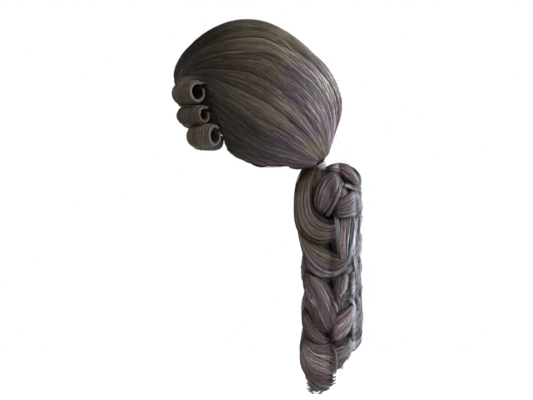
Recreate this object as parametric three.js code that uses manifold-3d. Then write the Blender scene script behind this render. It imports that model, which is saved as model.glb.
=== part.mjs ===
// Costume wig: a gentleman's eighteenth-century queue wig.
// A lace cap with bands, ribbons and sewn weft rows carries a swept-back hair
// dome, three buckle rolls at each temple, a tie at the nape and a long tail of
// ringlets. Millimetres, +Z up, the face looks toward -Y, +X is the wearer's
// left. The origin is in the head opening, on the centre plane.
import * as THREE from 'three';
import { mergeVertices } from 'three/addons/utils/BufferGeometryUtils.js';
import Module from 'manifold-3d';

const wasm = await Module();
wasm.setup();

// ---------------------------------------------------------------------------
// Driving dimensions
// ---------------------------------------------------------------------------
const RAD = Math.PI / 180;

// Hair dome: distances from POLE, read along directions (phi, theta).
// theta = 0 points at the tie, 180 at the middle of the forehead hairline;
// phi = 0 is over the top, +-90 the two sides, 180 the nape.
const POLE = new THREE.Vector3(0, -10.4, -32);
const TO_FOREHEAD = new THREE.Vector3(0, -0.8886, 0.4586).normalize();
const TO_TOP = new THREE.Vector3(0, 0.4586, 0.8886).normalize();
const TO_LEFT = new THREE.Vector3(1, 0, 0);
const THETA_KEYS = [0, 4, 10, 20, 30, 40, 50, 60, 70, 80, 90, 100, 110, 120, 130, 140, 150, 160, 170, 175, 178, 180];
const R_TOP = [122, 122, 123, 126, 132.5, 138, 139, 137.3, 135.8, 135.6, 138.5, 142, 143.6, 143, 140.5, 136.3, 131.8, 128, 122.5, 115, 107.6, 104];
const R_SIDE = [122, 120, 114, 106, 98.5, 93, 89.5, 87, 85.8, 85.2, 85, 85, 86, 90, 95, 99.5, 103, 104.4, 104.5, 104.3, 104, 104];
const R_NAPE = [122, 118, 104, 88, 78, 78, 82, 86, 86, 83, 79, 76, 76, 80, 86, 91, 96, 100, 103, 103.6, 104, 104];
const SIDE_SQUARENESS = 2.3;
const NAPE_SQUARENESS = 2.0;

// Lower and front edge of the hair: the largest phi at each theta
const EDGE_THETA = [0, 90, 100, 110, 120, 130, 135, 140, 150, 160, 170, 180];
const EDGE_PHI = [125, 125, 115, 105, 96, 82, 73, 68, 67, 66, 66, 66];
// Nape edge: the largest theta at each phi from 125 to 180
const NAPE_PHI = [125, 137.5, 150, 162.5, 180];
const NAPE_THETA = [27, 22, 17.5, 15, 14];

// Layers, measured inward from the outside of the hair
const HAIR_THICKNESS = 6.5;
const WEFT_OUT = -9.0, WEFT_IN = -9.9, WEFT_WIDTH = 5;
const RIBBON_OUT = -11.0, RIBBON_IN = -11.7, RIBBON_WIDTH = 12;
const NET_OUT = -13.2, NET_IN = -13.9;
const BAND_OUT = -11.0, BAND_IN = -11.9;
const STAY_OUT = -12.7, STAY_IN = -13.6, STAY_WIDTH = 5;
const HAIR_FRONT_THETA = 177;
const HAIR_BACK_THETA = 10;
const TOP_HALF_PHI = 50;
const SEAM_GAP = 0.35;

// Rolls, left side: back end and front end of each barrel's axis, radius
const ROLLS = {
  upper: { back: [81, -71.5, 6.5], front: [47, -98, 5.5], r: 16.2 },
  middle: { back: [83, -63, -24.5], front: [51, -94.5, -24.8], r: 12.8 },
  lower: { back: [83.5, -48.5, -52.7], front: [58, -80, -53], r: 15.6 },
};
const ROLL_WALL = 3.6;

// Tie and tail
const TIE = new THREE.Vector3(0, 98, -93.8);
const TIE_AXIS = new THREE.Vector3(0, 0.45, -0.893).normalize();
const NECK_R = 5.6;
const TIE_ELASTIC_R = 6.9, TIE_ELASTIC_SECTION = 0.9;
const WRAP_IN = 8.1, WRAP_OUT = 9.4, WRAP_LENGTH = 12;
const SWAY_PIVOT = new THREE.Vector3(0, 101.6, -100.8);
const SWING_PIVOT = new THREE.Vector3(0, 106.6, -113.4);
const RINGLET_TOP_Z = -120, RINGLET_FULL_Z = -168, TOP_SCALE = 0.42;
const CORE = { x: -2, y: 113, r: 11, bottom: -330 };
const RINGLETS = {
  ringlet_front_left: { x: 19.7, y: 89, r: 19.8, bottom: -405, color: 0x6a5a58 },
  ringlet_back_left: { x: 26, y: 124.5, r: 15.1, bottom: -370, color: 0x76686a },
  ringlet_front_right: { x: -21, y: 88, r: 18.2, bottom: -385, color: 0x62534f },
  ringlet_back_right: { x: -34.5, y: 119, r: 13.8, bottom: -360, color: 0x6d6062 },
};
const BACK_RINGLET = {
  r: 14.6, bottom: -346,
  path: [[-1, 117.5, -111], [-1.4, 123, -105.2], [-2, 130.8, -104.9], [-2.5, 137.6, -112.5], [-3, 140.4, -127], [-3, 139.6, -150], [-3, 139.5, -175]],
  radii: [3.6, 7.2, 11.4, 13.6, 14.4, 14.6, 14.6],
};

// ---------------------------------------------------------------------------
// Helpers
// ---------------------------------------------------------------------------
function lerpTable(keys, values, x) {
  if (x <= keys[0]) return values[0];
  for (let i = 1; i < keys.length; i++) {
    if (x <= keys[i]) {
      const t = (x - keys[i - 1]) / (keys[i] - keys[i - 1]);
      return values[i - 1] + t * (values[i] - values[i - 1]);
    }
  }
  return values[values.length - 1];
}

// Hair radius along a direction given as phi, theta in degrees
function hairRadius(phi, theta) {
  const p = Math.abs(((phi + 540) % 360) - 180);
  const top = lerpTable(THETA_KEYS, R_TOP, theta);
  const side = lerpTable(THETA_KEYS, R_SIDE, theta);
  const nape = lerpTable(THETA_KEYS, R_NAPE, theta);
  const c = Math.abs(Math.cos(p * RAD)), s = Math.abs(Math.sin(p * RAD));
  const n = p <= 90 ? SIDE_SQUARENESS : NAPE_SQUARENESS;
  const a = p <= 90 ? top : nape;
  return Math.pow(Math.pow(c / a, n) + Math.pow(s / side, n), -1 / n);
}

function direction(phi, theta) {
  const ct = Math.cos(theta * RAD), st = Math.sin(theta * RAD);
  return TO_FOREHEAD.clone().multiplyScalar(-ct)
    .addScaledVector(TO_TOP, st * Math.cos(phi * RAD))
    .addScaledVector(TO_LEFT, st * Math.sin(phi * RAD));
}

function toAngles(d) {
  const theta = Math.acos(THREE.MathUtils.clamp(-d.dot(TO_FOREHEAD), -1, 1)) / RAD;
  const phi = Math.atan2(d.dot(TO_LEFT), d.dot(TO_TOP)) / RAD;
  return [phi, theta];
}

function onHair(phi, theta, offset) {
  return POLE.clone().addScaledVector(direction(phi, theta), hairRadius(phi, theta) + offset);
}

const edgePhi = (theta) => lerpTable(EDGE_THETA, EDGE_PHI, theta);

function geometryFrom(points, triangles) {
  const g = new THREE.BufferGeometry();
  const array = new Float32Array(points.length * 3);
  points.forEach((p, i) => array.set([p.x, p.y, p.z], i * 3));
  let volume = 0;
  for (const [a, b, c] of triangles) {
    volume += points[a].dot(new THREE.Vector3().crossVectors(points[b], points[c]));
  }
  const index = [];
  for (const [a, b, c] of triangles) index.push(...(volume > 0 ? [a, b, c] : [a, c, b]));
  g.setAttribute('position', new THREE.BufferAttribute(array, 3));
  g.setIndex(index);
  return g;
}

// Closed solid between an outer and an inner grid of points, with walls round the rim
function slab(outer, inner) {
  const rows = outer.length, cols = outer[0].length;
  const points = [...outer.flat(), ...inner.flat()];
  const o = (i, j) => i * cols + j, n = (i, j) => rows * cols + i * cols + j;
  const tri = [];
  const quad = (a, b, c, d) => tri.push([a, b, c], [a, c, d]);
  for (let i = 0; i < rows - 1; i++) {
    for (let j = 0; j < cols - 1; j++) {
      quad(o(i, j), o(i, j + 1), o(i + 1, j + 1), o(i + 1, j));
      quad(n(i, j), n(i + 1, j), n(i + 1, j + 1), n(i, j + 1));
    }
    quad(o(i, 0), o(i + 1, 0), n(i + 1, 0), n(i, 0));
    quad(o(i + 1, cols - 1), o(i, cols - 1), n(i, cols - 1), n(i + 1, cols - 1));
  }
  for (let j = 0; j < cols - 1; j++) {
    quad(o(0, j + 1), o(0, j), n(0, j), n(0, j + 1));
    quad(o(rows - 1, j), o(rows - 1, j + 1), n(rows - 1, j + 1), n(rows - 1, j));
  }
  return geometryFrom(points, tri);
}

// Closed solid through rings of equal count, with a pointed cap at each end
function tube(rings, first, last) {
  const k = rings[0].length;
  const points = rings.flat();
  const a = points.push(first) - 1, b = points.push(last) - 1;
  const tri = [];
  for (let i = 0; i < rings.length - 1; i++) {
    for (let j = 0; j < k; j++) {
      const p = i * k + j, q = i * k + ((j + 1) % k);
      tri.push([p, q, q + k], [p, q + k, p + k]);
    }
  }
  const e = (rings.length - 1) * k;
  for (let j = 0; j < k; j++) {
    tri.push([a, (j + 1) % k, j]);
    tri.push([b, e + j, e + ((j + 1) % k)]);
  }
  return geometryFrom(points, tri);
}

// Closed sleeve: outer rings and inner rings of equal count
function sleeve(outer, inner) {
  const rings = [...outer, ...inner.slice().reverse()];
  const k = rings[0].length, m = rings.length;
  const points = rings.flat();
  const tri = [];
  for (let i = 0; i < m; i++) {
    for (let j = 0; j < k; j++) {
      const p = i * k + j, q = i * k + ((j + 1) % k);
      const r = ((i + 1) % m) * k + j, s = ((i + 1) % m) * k + ((j + 1) % k);
      tri.push([p, q, s], [p, s, r]);
    }
  }
  return geometryFrom(points, tri);
}

function ring(centre, axis, radius, sides, start = 0, squash = 1) {
  const u = new THREE.Vector3(1, 0, 0);
  u.addScaledVector(axis, -u.dot(axis)).normalize();
  const w = new THREE.Vector3().crossVectors(axis, u).normalize();
  const out = [];
  for (let i = 0; i < sides; i++) {
    const a = start + (i / sides) * Math.PI * 2;
    out.push(centre.clone().addScaledVector(u, radius * Math.cos(a)).addScaledVector(w, radius * squash * Math.sin(a)));
  }
  return out;
}

// Patch of the hair dome between two phi edges and two theta edges
function domePatch(phiA, phiB, thetas, columns, outOffset, inOffset) {
  const outer = [], inner = [];
  for (const theta of thetas) {
    const a = phiA(theta), b = phiB(theta), ro = [], ri = [];
    for (let j = 0; j <= columns; j++) {
      const phi = a + (b - a) * (j / columns);
      ro.push(onHair(phi, theta, outOffset(theta)));
      ri.push(onHair(phi, theta, inOffset(theta)));
    }
    outer.push(ro);
    inner.push(ri);
  }
  return slab(outer, inner);
}

// Flat tape laid on the dome along a list of [phi, theta] points
function tape(path, width, outOffset, inOffset) {
  const dirs = path.map(([p, t]) => direction(p, t));
  const outer = [[], [], []], inner = [[], [], []];
  dirs.forEach((d, i) => {
    const before = dirs[Math.max(0, i - 1)], after = dirs[Math.min(dirs.length - 1, i + 1)];
    const along = after.clone().sub(before).normalize();
    const across = new THREE.Vector3().crossVectors(d, along).normalize();
    [-1, 0, 1].forEach((side, row) => {
      const r0 = hairRadius(...toAngles(d));
      const e = d.clone().addScaledVector(across, side * width / 2 / r0).normalize();
      const r = hairRadius(...toAngles(e));
      outer[row].push(POLE.clone().addScaledVector(e, r + outOffset));
      inner[row].push(POLE.clone().addScaledVector(e, r + inOffset));
    });
  });
  return slab(outer, inner);
}

const range = (a, b, n) => Array.from({ length: n + 1 }, (_, i) => a + (b - a) * (i / n));

// Mirrors a geometry to the wearer's other side
function mirrored(geometry) {
  const p = geometry.getAttribute('position'), points = [];
  for (let i = 0; i < p.count; i++) points.push(new THREE.Vector3(-p.getX(i), p.getY(i), p.getZ(i)));
  const tri = [], ix = geometry.index.array;
  for (let i = 0; i < ix.length; i += 3) tri.push([ix[i], ix[i + 1], ix[i + 2]]);
  return geometryFrom(points, tri);
}

// Joins box-like geometries, each placed by a matrix, into one solid
function joined(list) {
  let solid = null;
  for (const [geometry, matrix] of list) {
    const g = geometry.clone().applyMatrix4(matrix);
    g.deleteAttribute('normal');
    g.deleteAttribute('uv');
    const m = mergeVertices(g, 1e-4);
    const mesh = new wasm.Mesh({
      numProp: 3,
      vertProperties: new Float32Array(m.getAttribute('position').array),
      triVerts: new Uint32Array(m.index.array),
    });
    const piece = new wasm.Manifold(mesh);
    solid = solid ? solid.add(piece) : piece;
  }
  const out = solid.getMesh();
  const g = new THREE.BufferGeometry();
  g.setAttribute('position', new THREE.BufferAttribute(new Float32Array(out.vertProperties), 3));
  g.setIndex(Array.from(out.triVerts));
  return g;
}

const wig = new THREE.Group();
function add(name, geometry, color, roughness = 0.6, metalness = 0) {
  const mesh = new THREE.Mesh(geometry, new THREE.MeshStandardMaterial({ color, roughness, metalness }));
  mesh.name = name;
  wig.add(mesh);
  return mesh;
}
function addPair(stem, suffix, geometry, color, roughness, metalness) {
  add(`${stem}_left${suffix}`, geometry, color, roughness, metalness);
  add(`${stem}_right${suffix}`, mirrored(geometry), color, roughness, metalness);
}

const HAIR = 0x5d5046, HAIR_MAUVE = 0x75646c, LACE = 0x4a4340, TAPE = 0x2d2a29, ELASTIC = 0x1f1f21;

// ---------------------------------------------------------------------------
// Hair dome, in four sections sewn side by side
// ---------------------------------------------------------------------------
const dome = [10, 20, 30, 40, 50, 60, 70, 80, 90, 100, 110, 120, 130, 140, 150, 160, 170, 174, HAIR_FRONT_THETA];
const gapDeg = (phi, theta) => SEAM_GAP / 2 / (hairRadius(phi, theta) * Math.max(0.03, Math.sin(theta * RAD))) / RAD;
const hairOut = () => 0;
// the shell thins toward the forehead edge, where it is only the hair's roots
const hairIn = (theta) => -HAIR_THICKNESS + (theta > 165 ? (theta - 165) * 0.25 : 0);

add('hair_top', domePatch((t) => -TOP_HALF_PHI + gapDeg(50, t), (t) => TOP_HALF_PHI - gapDeg(50, t), dome, 8, hairOut, hairIn), HAIR);
addPair('hair_side', '', domePatch((t) => TOP_HALF_PHI + gapDeg(50, t), (t) => edgePhi(t), dome, 6, hairOut, hairIn), HAIR);
{
  const phis = range(126, 234, 8);
  const outer = [], inner = [];
  for (const s of [0, 0.34, 0.67, 1]) {
    const ro = [], ri = [];
    for (const phi of phis) {
      const fold = phi <= 180 ? phi : 360 - phi;
      const theta = HAIR_BACK_THETA + (lerpTable(NAPE_PHI, NAPE_THETA, fold) - HAIR_BACK_THETA) * s;
      ro.push(onHair(phi, theta, 0));
      ri.push(onHair(phi, theta, -5));
    }
    outer.push(ro);
    inner.push(ri);
  }
  add('hair_nape', slab(outer, inner), HAIR_MAUVE);
}

// Gather: the hair drawn together from all round into the tie
{
  const rings = [];
  const at = (c, axis, r) => rings.push(ring(c, axis, r, 14));
  const back = TO_FOREHEAD.clone().negate();
  const coneStart = [];
  for (let i = 0; i < 14; i++) {
    const phi = (i / 14) * 360;
    coneStart.push(onHair(phi, 9.0, -1.2));
  }
  // order the first ring the same way round as the tie's rings
  const ref = ring(new THREE.Vector3(), back, 1, 14);
  const sorted = ref.map((v) => {
    const phi = Math.atan2(v.dot(TO_LEFT), v.dot(TO_TOP)) / RAD;
    return onHair(phi, 9.0, -1.0);
  });
  const mid = ref.map((v) => {
    const phi = Math.atan2(v.dot(TO_LEFT), v.dot(TO_TOP)) / RAD;
    return onHair(phi, 5.0, -1.5).addScaledVector(TIE_AXIS, 0.6);
  });
  rings.push(sorted, mid);
  at(TIE.clone().addScaledVector(TIE_AXIS, -6.4), TIE_AXIS, NECK_R + 0.7);
  at(TIE.clone().addScaledVector(TIE_AXIS, -2), TIE_AXIS, NECK_R);
  at(TIE.clone().addScaledVector(TIE_AXIS, 1.6), TIE_AXIS, NECK_R);
  const inside = POLE.clone().addScaledVector(back, 104);
  add('hair_gather', tube(rings, inside, TIE.clone().addScaledVector(TIE_AXIS, 1.7)), HAIR_MAUVE);
}

// ---------------------------------------------------------------------------
// Cap: net, bands, ribbons, stays and the sewn weft rows
// ---------------------------------------------------------------------------
{
  const thetas = [34, 44, 54, 64, 76, 88, 100, 112, 122, 132, 142];
  const deeper = (t) => (t < 64 ? -(64 - t) * 0.32 : 0);
  const half = (t) => (t < 70 ? 92 : Math.min(98, edgePhi(t) - 12));
  add('crown_net', domePatch((t) => -half(t), half, thetas, 12, (t) => NET_OUT + deeper(t), (t) => NET_IN + deeper(t)), LACE, 0.9);
}
// Front band: along the hairline over the forehead, ear to ear above the rolls
{
  const path = [];
  for (const t of [138, 144, 150, 156, 162, 168]) path.push([-(edgePhi(t) - 7), t]);
  for (const p of [-40, -20, 0, 20, 40]) path.push([p, 171.5 - Math.abs(p) * 0.02]);
  for (const t of [168, 162, 156, 150, 144, 138]) path.push([edgePhi(t) - 7, t]);
  add('front_band', tape(path, 10, BAND_OUT, BAND_IN), TAPE, 0.85);
}
// Ear tabs: the shaped tongues of cap that lie in front of the ears, with a
// springy stay sewn on the inside of each
addPair('ear_tab', '', tape([[edgePhi(134) - 8, 134], [edgePhi(128) - 8, 128], [edgePhi(122) - 8, 122], [edgePhi(116) - 8, 116], [edgePhi(110) - 8, 110], [edgePhi(104) - 8, 104]], 13, BAND_OUT, BAND_IN), LACE, 0.9);
addPair('ear_tab_stay', '', tape([[edgePhi(131) - 8, 131], [edgePhi(125) - 8, 125], [edgePhi(119) - 8, 119], [edgePhi(113) - 8, 113], [edgePhi(107) - 8, 107]], STAY_WIDTH, STAY_OUT, STAY_IN), 0xb9bcc0, 0.35, 0.8);
// Side bands: elastic binding along the hem from ear tab to nape
addPair('side_band', '', tape(range(100, 38, 8).map((t) => [edgePhi(t) - 6, t]), 10, BAND_OUT, BAND_IN), TAPE, 0.85);
// Nape band: across the back of the neck, hem to hem
{
  const path = range(-1, 1, 12).map((s) => {
    const phi = 180 + s * 60;
    const fold = 180 - Math.abs(180 - phi);
    const t = lerpTable([118, 125, 137.5, 150, 162.5, 180], [35, 26, 21.5, 17.8, 16, 15.4], fold);
    return [phi, t];
  });
  const outer = [[], []], inner = [[], []];
  path.forEach(([p, t]) => {
    [t - 1.6, t + 3.2].forEach((tt, row) => {
      outer[row].push(onHair(p, tt, -7.6));
      inner[row].push(onHair(p, tt, -8.6));
    });
  });
  add('nape_band', slab(outer, inner), TAPE, 0.85);
}
// Cap ribbons: woven tapes from the front band back over the crown
add('cap_ribbon_centre', tape(range(163, 36, 12).map((t) => [0, t]), RIBBON_WIDTH, RIBBON_OUT, RIBBON_IN), TAPE, 0.8);
addPair('cap_ribbon', '_inner', tape(range(152, 36, 11).map((t) => [34, t]), RIBBON_WIDTH, RIBBON_OUT, RIBBON_IN), TAPE, 0.8);
addPair('cap_ribbon', '_outer', tape(range(126, 40, 9).map((t) => [66, t]), RIBBON_WIDTH, RIBBON_OUT, RIBBON_IN), TAPE, 0.8);
// Weft rows: machine-sewn hair tracks running ear to ear, outside the ribbons
[40, 54, 68, 82, 96, 110, 124, 138].forEach((theta, i) => {
  const half = Math.min(112, edgePhi(theta) - 8);
  const outer = [], inner = [];
  const dt = WEFT_WIDTH / 2 / 115 / RAD;
  for (const t of [theta - dt, theta + dt]) {
    outer.push(range(-half, half, 22).map((p) => onHair(p, t, WEFT_OUT)));
    inner.push(range(-half, half, 22).map((p) => onHair(p, t, WEFT_IN)));
  }
  add(`weft_row_${i + 1}`, slab(outer, inner), 0x3a3230, 0.7);
});

// ---------------------------------------------------------------------------
// Size adjusters: elastic strap, hook and looped tape on each side of the nape
// ---------------------------------------------------------------------------
const ADJUST_PHI = 101, ADJUST_THETA = 39;
const adjustFrame = (() => {
  const d = direction(ADJUST_PHI, ADJUST_THETA);
  const origin = onHair(ADJUST_PHI, ADJUST_THETA, -14.2);
  const along = onHair(ADJUST_PHI, ADJUST_THETA - 7, -14.2).sub(onHair(ADJUST_PHI, ADJUST_THETA + 7, -14.2)).normalize();
  let inward = d.clone().negate();
  inward.addScaledVector(along, -inward.dot(along)).normalize();
  const across = new THREE.Vector3().crossVectors(inward, along).normalize();
  return { origin, m: new THREE.Matrix4().makeBasis(along, across, inward).setPosition(origin), along };
})();
const placed = (x, y, z, rotZ = 0) => adjustFrame.m.clone().multiply(new THREE.Matrix4().makeTranslation(x, y, z));
const box = (l, w, h) => new THREE.BoxGeometry(l, w, h);
// looped tape: a woven base with four loops standing on it, the strap's hook
// runs inside them
{
  const list = [[box(30, 13, 0.8), placed(6, 0, 0.4)]];
  for (const x of [-5, 2, 9, 16]) {
    list.push([box(2.6, 0.9, 2.9), placed(x, 4.95, 2.05)]);
    list.push([box(2.6, 0.9, 2.9), placed(x, -4.95, 2.05)]);
    list.push([box(2.6, 10.8, 0.8), placed(x, 0, 3.5)]);
  }
  addPair('loop_tape', '', joined(list), TAPE, 0.8);
}
// hook: flat tongue inside the loops, crossbar and folded strap eye behind them
{
  const list = [
    [box(20, 6, 0.9), placed(1, 0, 1.85)],
    [box(2.2, 8.6, 0.9), placed(-9.6, 0, 1.85)],
    [box(7.6, 1.8, 0.9), placed(-13.4, 3.4, 1.85)],
    [box(7.6, 1.8, 0.9), placed(-13.4, -3.4, 1.85)],
    [box(1.8, 8.6, 0.9), placed(-17.2, 0, 1.85)],
    [box(1.2, 5, 0.6), placed(10.2, 0, 2.5)],
  ];
  addPair('adjuster_hook', '', joined(list), 0x242428, 0.45);
}
// elastic strap: sewn to the side band, folded round the hook's eye
{
  const start = onHair(103, 74, -15.4);
  const outer = [[], []], inner = [[], []];
  const eye = new THREE.Vector3(-18.6, 0, 1.85).applyMatrix4(adjustFrame.m);
  const across = new THREE.Vector3(0, 1, 0).transformDirection(adjustFrame.m);
  for (const s of range(0, 1, 6)) {
    const c = start.clone().lerp(eye, s);
    const bulge = Math.sin(Math.PI * s);
    const d = c.clone().sub(POLE).normalize();
    c.addScaledVector(d, bulge * 1.6);
    [-1, 1].forEach((side, row) => {
      outer[row].push(c.clone().addScaledVector(across, side * 4).addScaledVector(d, 0.6));
      inner[row].push(c.clone().addScaledVector(across, side * 4).addScaledVector(d, -0.6));
    });
  }
  addPair('adjuster_strap', '', slab(outer, inner), ELASTIC, 0.75);
}

// ---------------------------------------------------------------------------
// Buckle rolls: each a band of hair rolled round into an open barrel
// ---------------------------------------------------------------------------
for (const [name, roll] of Object.entries(ROLLS)) {
  const back = new THREE.Vector3(...roll.back), front = new THREE.Vector3(...roll.front);
  const axis = front.clone().sub(back).normalize();
  const outward = new THREE.Vector3().crossVectors(new THREE.Vector3(0, 0, 1), axis).normalize();
  if (outward.x < 0) outward.negate();
  const up = new THREE.Vector3().crossVectors(outward, axis).normalize();
  if (up.z < 0) up.negate();
  const outer = [], inner = [];
  for (const s of [0, 0.25, 0.75, 1]) {
    const c = back.clone().lerp(front, s);
    // the barrel narrows a little toward both ends
    const r = roll.r * (1 - 0.1 * Math.pow(2 * s - 1, 4));
    const ro = [], ri = [];
    for (let i = 0; i <= 18; i++) {
      const f = i / 18;
      const a = (118 - 335 * f) * RAD;
      const shrink = f < 0.6 ? 1 : 1 - 0.3 * Math.pow((f - 0.6) / 0.4, 1.2);
      const wall = ROLL_WALL * (1 - 0.35 * f);
      const at = (rad) => c.clone().addScaledVector(outward, rad * Math.cos(a)).addScaledVector(up, rad * Math.sin(a));
      ro.push(at(r * shrink));
      ri.push(at(r * shrink - wall));
    }
    outer.push(ro);
    inner.push(ri);
  }
  addPair('roll', `_${name}`, slab(outer, inner), HAIR);
}

// ---------------------------------------------------------------------------
// Tie at the nape and the tail of ringlets
// ---------------------------------------------------------------------------
{
  const rings = 16, sides = 6;
  const outerRings = [];
  // elastic ring round the gathered hair
  const u = new THREE.Vector3(1, 0, 0), w = new THREE.Vector3().crossVectors(TIE_AXIS, u).normalize();
  const points = [], tri = [];
  for (let i = 0; i < rings; i++) {
    const a = (i / rings) * Math.PI * 2;
    const radial = u.clone().multiplyScalar(Math.cos(a)).addScaledVector(w, Math.sin(a));
    for (let j = 0; j < sides; j++) {
      const b = (j / sides) * Math.PI * 2;
      points.push(TIE.clone().addScaledVector(radial, TIE_ELASTIC_R + TIE_ELASTIC_SECTION * Math.cos(b))
        .addScaledVector(TIE_AXIS, TIE_ELASTIC_SECTION * 2 * Math.sin(b)));
    }
  }
  for (let i = 0; i < rings; i++) {
    for (let j = 0; j < sides; j++) {
      const p = i * sides + j, q = ((i + 1) % rings) * sides + j;
      const r = i * sides + ((j + 1) % sides), s = ((i + 1) % rings) * sides + ((j + 1) % sides);
      tri.push([p, q, s], [p, s, r]);
    }
  }
  add('tie_elastic', geometryFrom(points, tri), ELASTIC, 0.8);
  const at = (s) => TIE.clone().addScaledVector(TIE_AXIS, s);
  for (const [s, r] of [[-WRAP_LENGTH / 2 + 1.5, WRAP_OUT - 0.4], [-WRAP_LENGTH / 4, WRAP_OUT], [WRAP_LENGTH / 4, WRAP_OUT], [WRAP_LENGTH / 2, WRAP_OUT - 0.4]]) {
    outerRings.push(ring(at(s), TIE_AXIS, r, 20));
  }
  const innerRings = [-WRAP_LENGTH / 2 + 1.5, -WRAP_LENGTH / 4, WRAP_LENGTH / 4, WRAP_LENGTH / 2].map((s) => ring(at(s), TIE_AXIS, WRAP_IN, 20));
  add('tie_wrap', sleeve(outerRings, innerRings), HAIR_MAUVE, 0.55);
}
// Tail root: the short stretch of hair between the two bending points
{
  const axis = SWING_PIVOT.clone().sub(SWAY_PIVOT).normalize();
  const rings = [];
  const dome5 = 4.9;
  for (const a of [70, 45, 20, 0]) {
    rings.push(ring(SWAY_PIVOT.clone().addScaledVector(axis, -dome5 * Math.sin(a * RAD)), axis, dome5 * Math.cos(a * RAD), 12));
  }
  rings.push(ring(SWAY_PIVOT.clone().addScaledVector(axis, 4), axis, 5.4, 12));
  rings.push(ring(SWAY_PIVOT.clone().addScaledVector(axis, 7.6), axis, 5.6, 12));
  add('tail_root', tube(rings, SWAY_PIVOT.clone().addScaledVector(axis, -dome5), SWAY_PIVOT.clone().addScaledVector(axis, 7.7)), HAIR_MAUVE);
}
const spread = (z) => {
  const t = THREE.MathUtils.clamp((RINGLET_TOP_Z - z) / (RINGLET_TOP_Z - RINGLET_FULL_Z), 0, 1);
  return TOP_SCALE + (1 - TOP_SCALE) * (t * t * (3 - 2 * t));
};
function ringletRings(centreAt, radiusAt, zs, sides) {
  return zs.map((z, i) => {
    const c = centreAt(z);
    const before = centreAt(zs[Math.max(0, i - 1)]), after = centreAt(zs[Math.min(zs.length - 1, i + 1)]);
    return ring(c, new THREE.Vector3(0, 0, -1), radiusAt(z), sides);
  });
}
const taperEnd = (z, bottom) => {
  const left = z - bottom;
  return left > 45 ? 1 : 0.42 + 0.58 * Math.sqrt(Math.max(0, left) / 45);
};
// core of the tail: starts as a dome round the swing pivot
{
  const rings = [];
  const dome = 4.4;
  const down = new THREE.Vector3(0, 0, -1);
  for (const a of [70, 45, 20]) {
    rings.push(ring(SWING_PIVOT.clone().add(new THREE.Vector3(0, 0, dome * Math.sin(a * RAD))), down, dome * Math.cos(a * RAD), 12));
  }
  const centreAt = (z) => {
    const t = THREE.MathUtils.clamp((SWING_PIVOT.z - z) / 40, 0, 1);
    const s = t * t * (3 - 2 * t);
    return new THREE.Vector3(SWING_PIVOT.x + (CORE.x - SWING_PIVOT.x) * s, SWING_PIVOT.y + (CORE.y - SWING_PIVOT.y) * s, z);
  };
  const zs = [-114, -120, -126, -133, -140, -148, -157, -168, -190, -215, -240, -265, -285, -300, -312, -322, CORE.bottom + 1];
  rings.push(...ringletRings(centreAt, (z) => CORE.r * spread(z) * 0.96 * taperEnd(z, CORE.bottom), zs, 12));
  add('tail_core', tube(rings, SWING_PIVOT.clone().add(new THREE.Vector3(0, 0, dome)), centreAt(CORE.bottom)), HAIR_MAUVE);
}
for (const [name, q] of Object.entries(RINGLETS)) {
  // the ringlets leave the core side by side and spread apart as they thicken
  const centreAt = (z) => {
    const t = THREE.MathUtils.clamp((SWING_PIVOT.z - z) / 40, 0, 1);
    const s = t * t * (3 - 2 * t);
    const cx = SWING_PIVOT.x + (CORE.x - SWING_PIVOT.x) * s, cy = SWING_PIVOT.y + (CORE.y - SWING_PIVOT.y) * s;
    const k = spread(z);
    return new THREE.Vector3(cx + (q.x - CORE.x) * k, cy + (q.y - CORE.y) * k, z);
  };
  const zs = [];
  for (const z of [-121, -127, -134, -142, -150, -159, -168]) zs.push(z);
  const steps = 7;
  for (let i = 1; i <= steps; i++) zs.push(-168 + (q.bottom + 40 + 168) * (i / steps));
  for (const d of [30, 21, 13, 7, 3, 1]) zs.push(q.bottom + d);
  const rings = ringletRings(centreAt, (z) => q.r * spread(z) * taperEnd(z, q.bottom), zs, 12);
  const top = centreAt(-120);
  add(name, tube(rings, new THREE.Vector3(top.x, top.y, -118.5), centreAt(q.bottom)), q.color);
}
// back ringlet: rises off the tie in a loop before it hangs
{
  const path = BACK_RINGLET.path.map((p) => new THREE.Vector3(...p));
  const radii = BACK_RINGLET.radii.slice();
  const steps = 5, last = path[path.length - 1];
  for (let i = 1; i <= steps; i++) {
    path.push(new THREE.Vector3(last.x, last.y, last.z + (BACK_RINGLET.bottom + 40 - last.z) * (i / steps)));
    radii.push(BACK_RINGLET.r);
  }
  for (const d of [30, 21, 13, 7, 3, 1]) {
    path.push(new THREE.Vector3(last.x, last.y, BACK_RINGLET.bottom + d));
    radii.push(BACK_RINGLET.r * taperEnd(BACK_RINGLET.bottom + d, BACK_RINGLET.bottom));
  }
  const rings = path.map((c, i) => {
    const t = path[Math.min(path.length - 1, i + 1)].clone().sub(path[Math.max(0, i - 1)]).normalize();
    return ring(c, t, radii[i], 12);
  });
  const t0 = path[1].clone().sub(path[0]).normalize();
  add('ringlet_back', tube(rings, path[0].clone().addScaledVector(t0, -1.5), new THREE.Vector3(last.x, last.y, BACK_RINGLET.bottom)), 0x7d7076);
}

export default wig;
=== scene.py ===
import math

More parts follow.
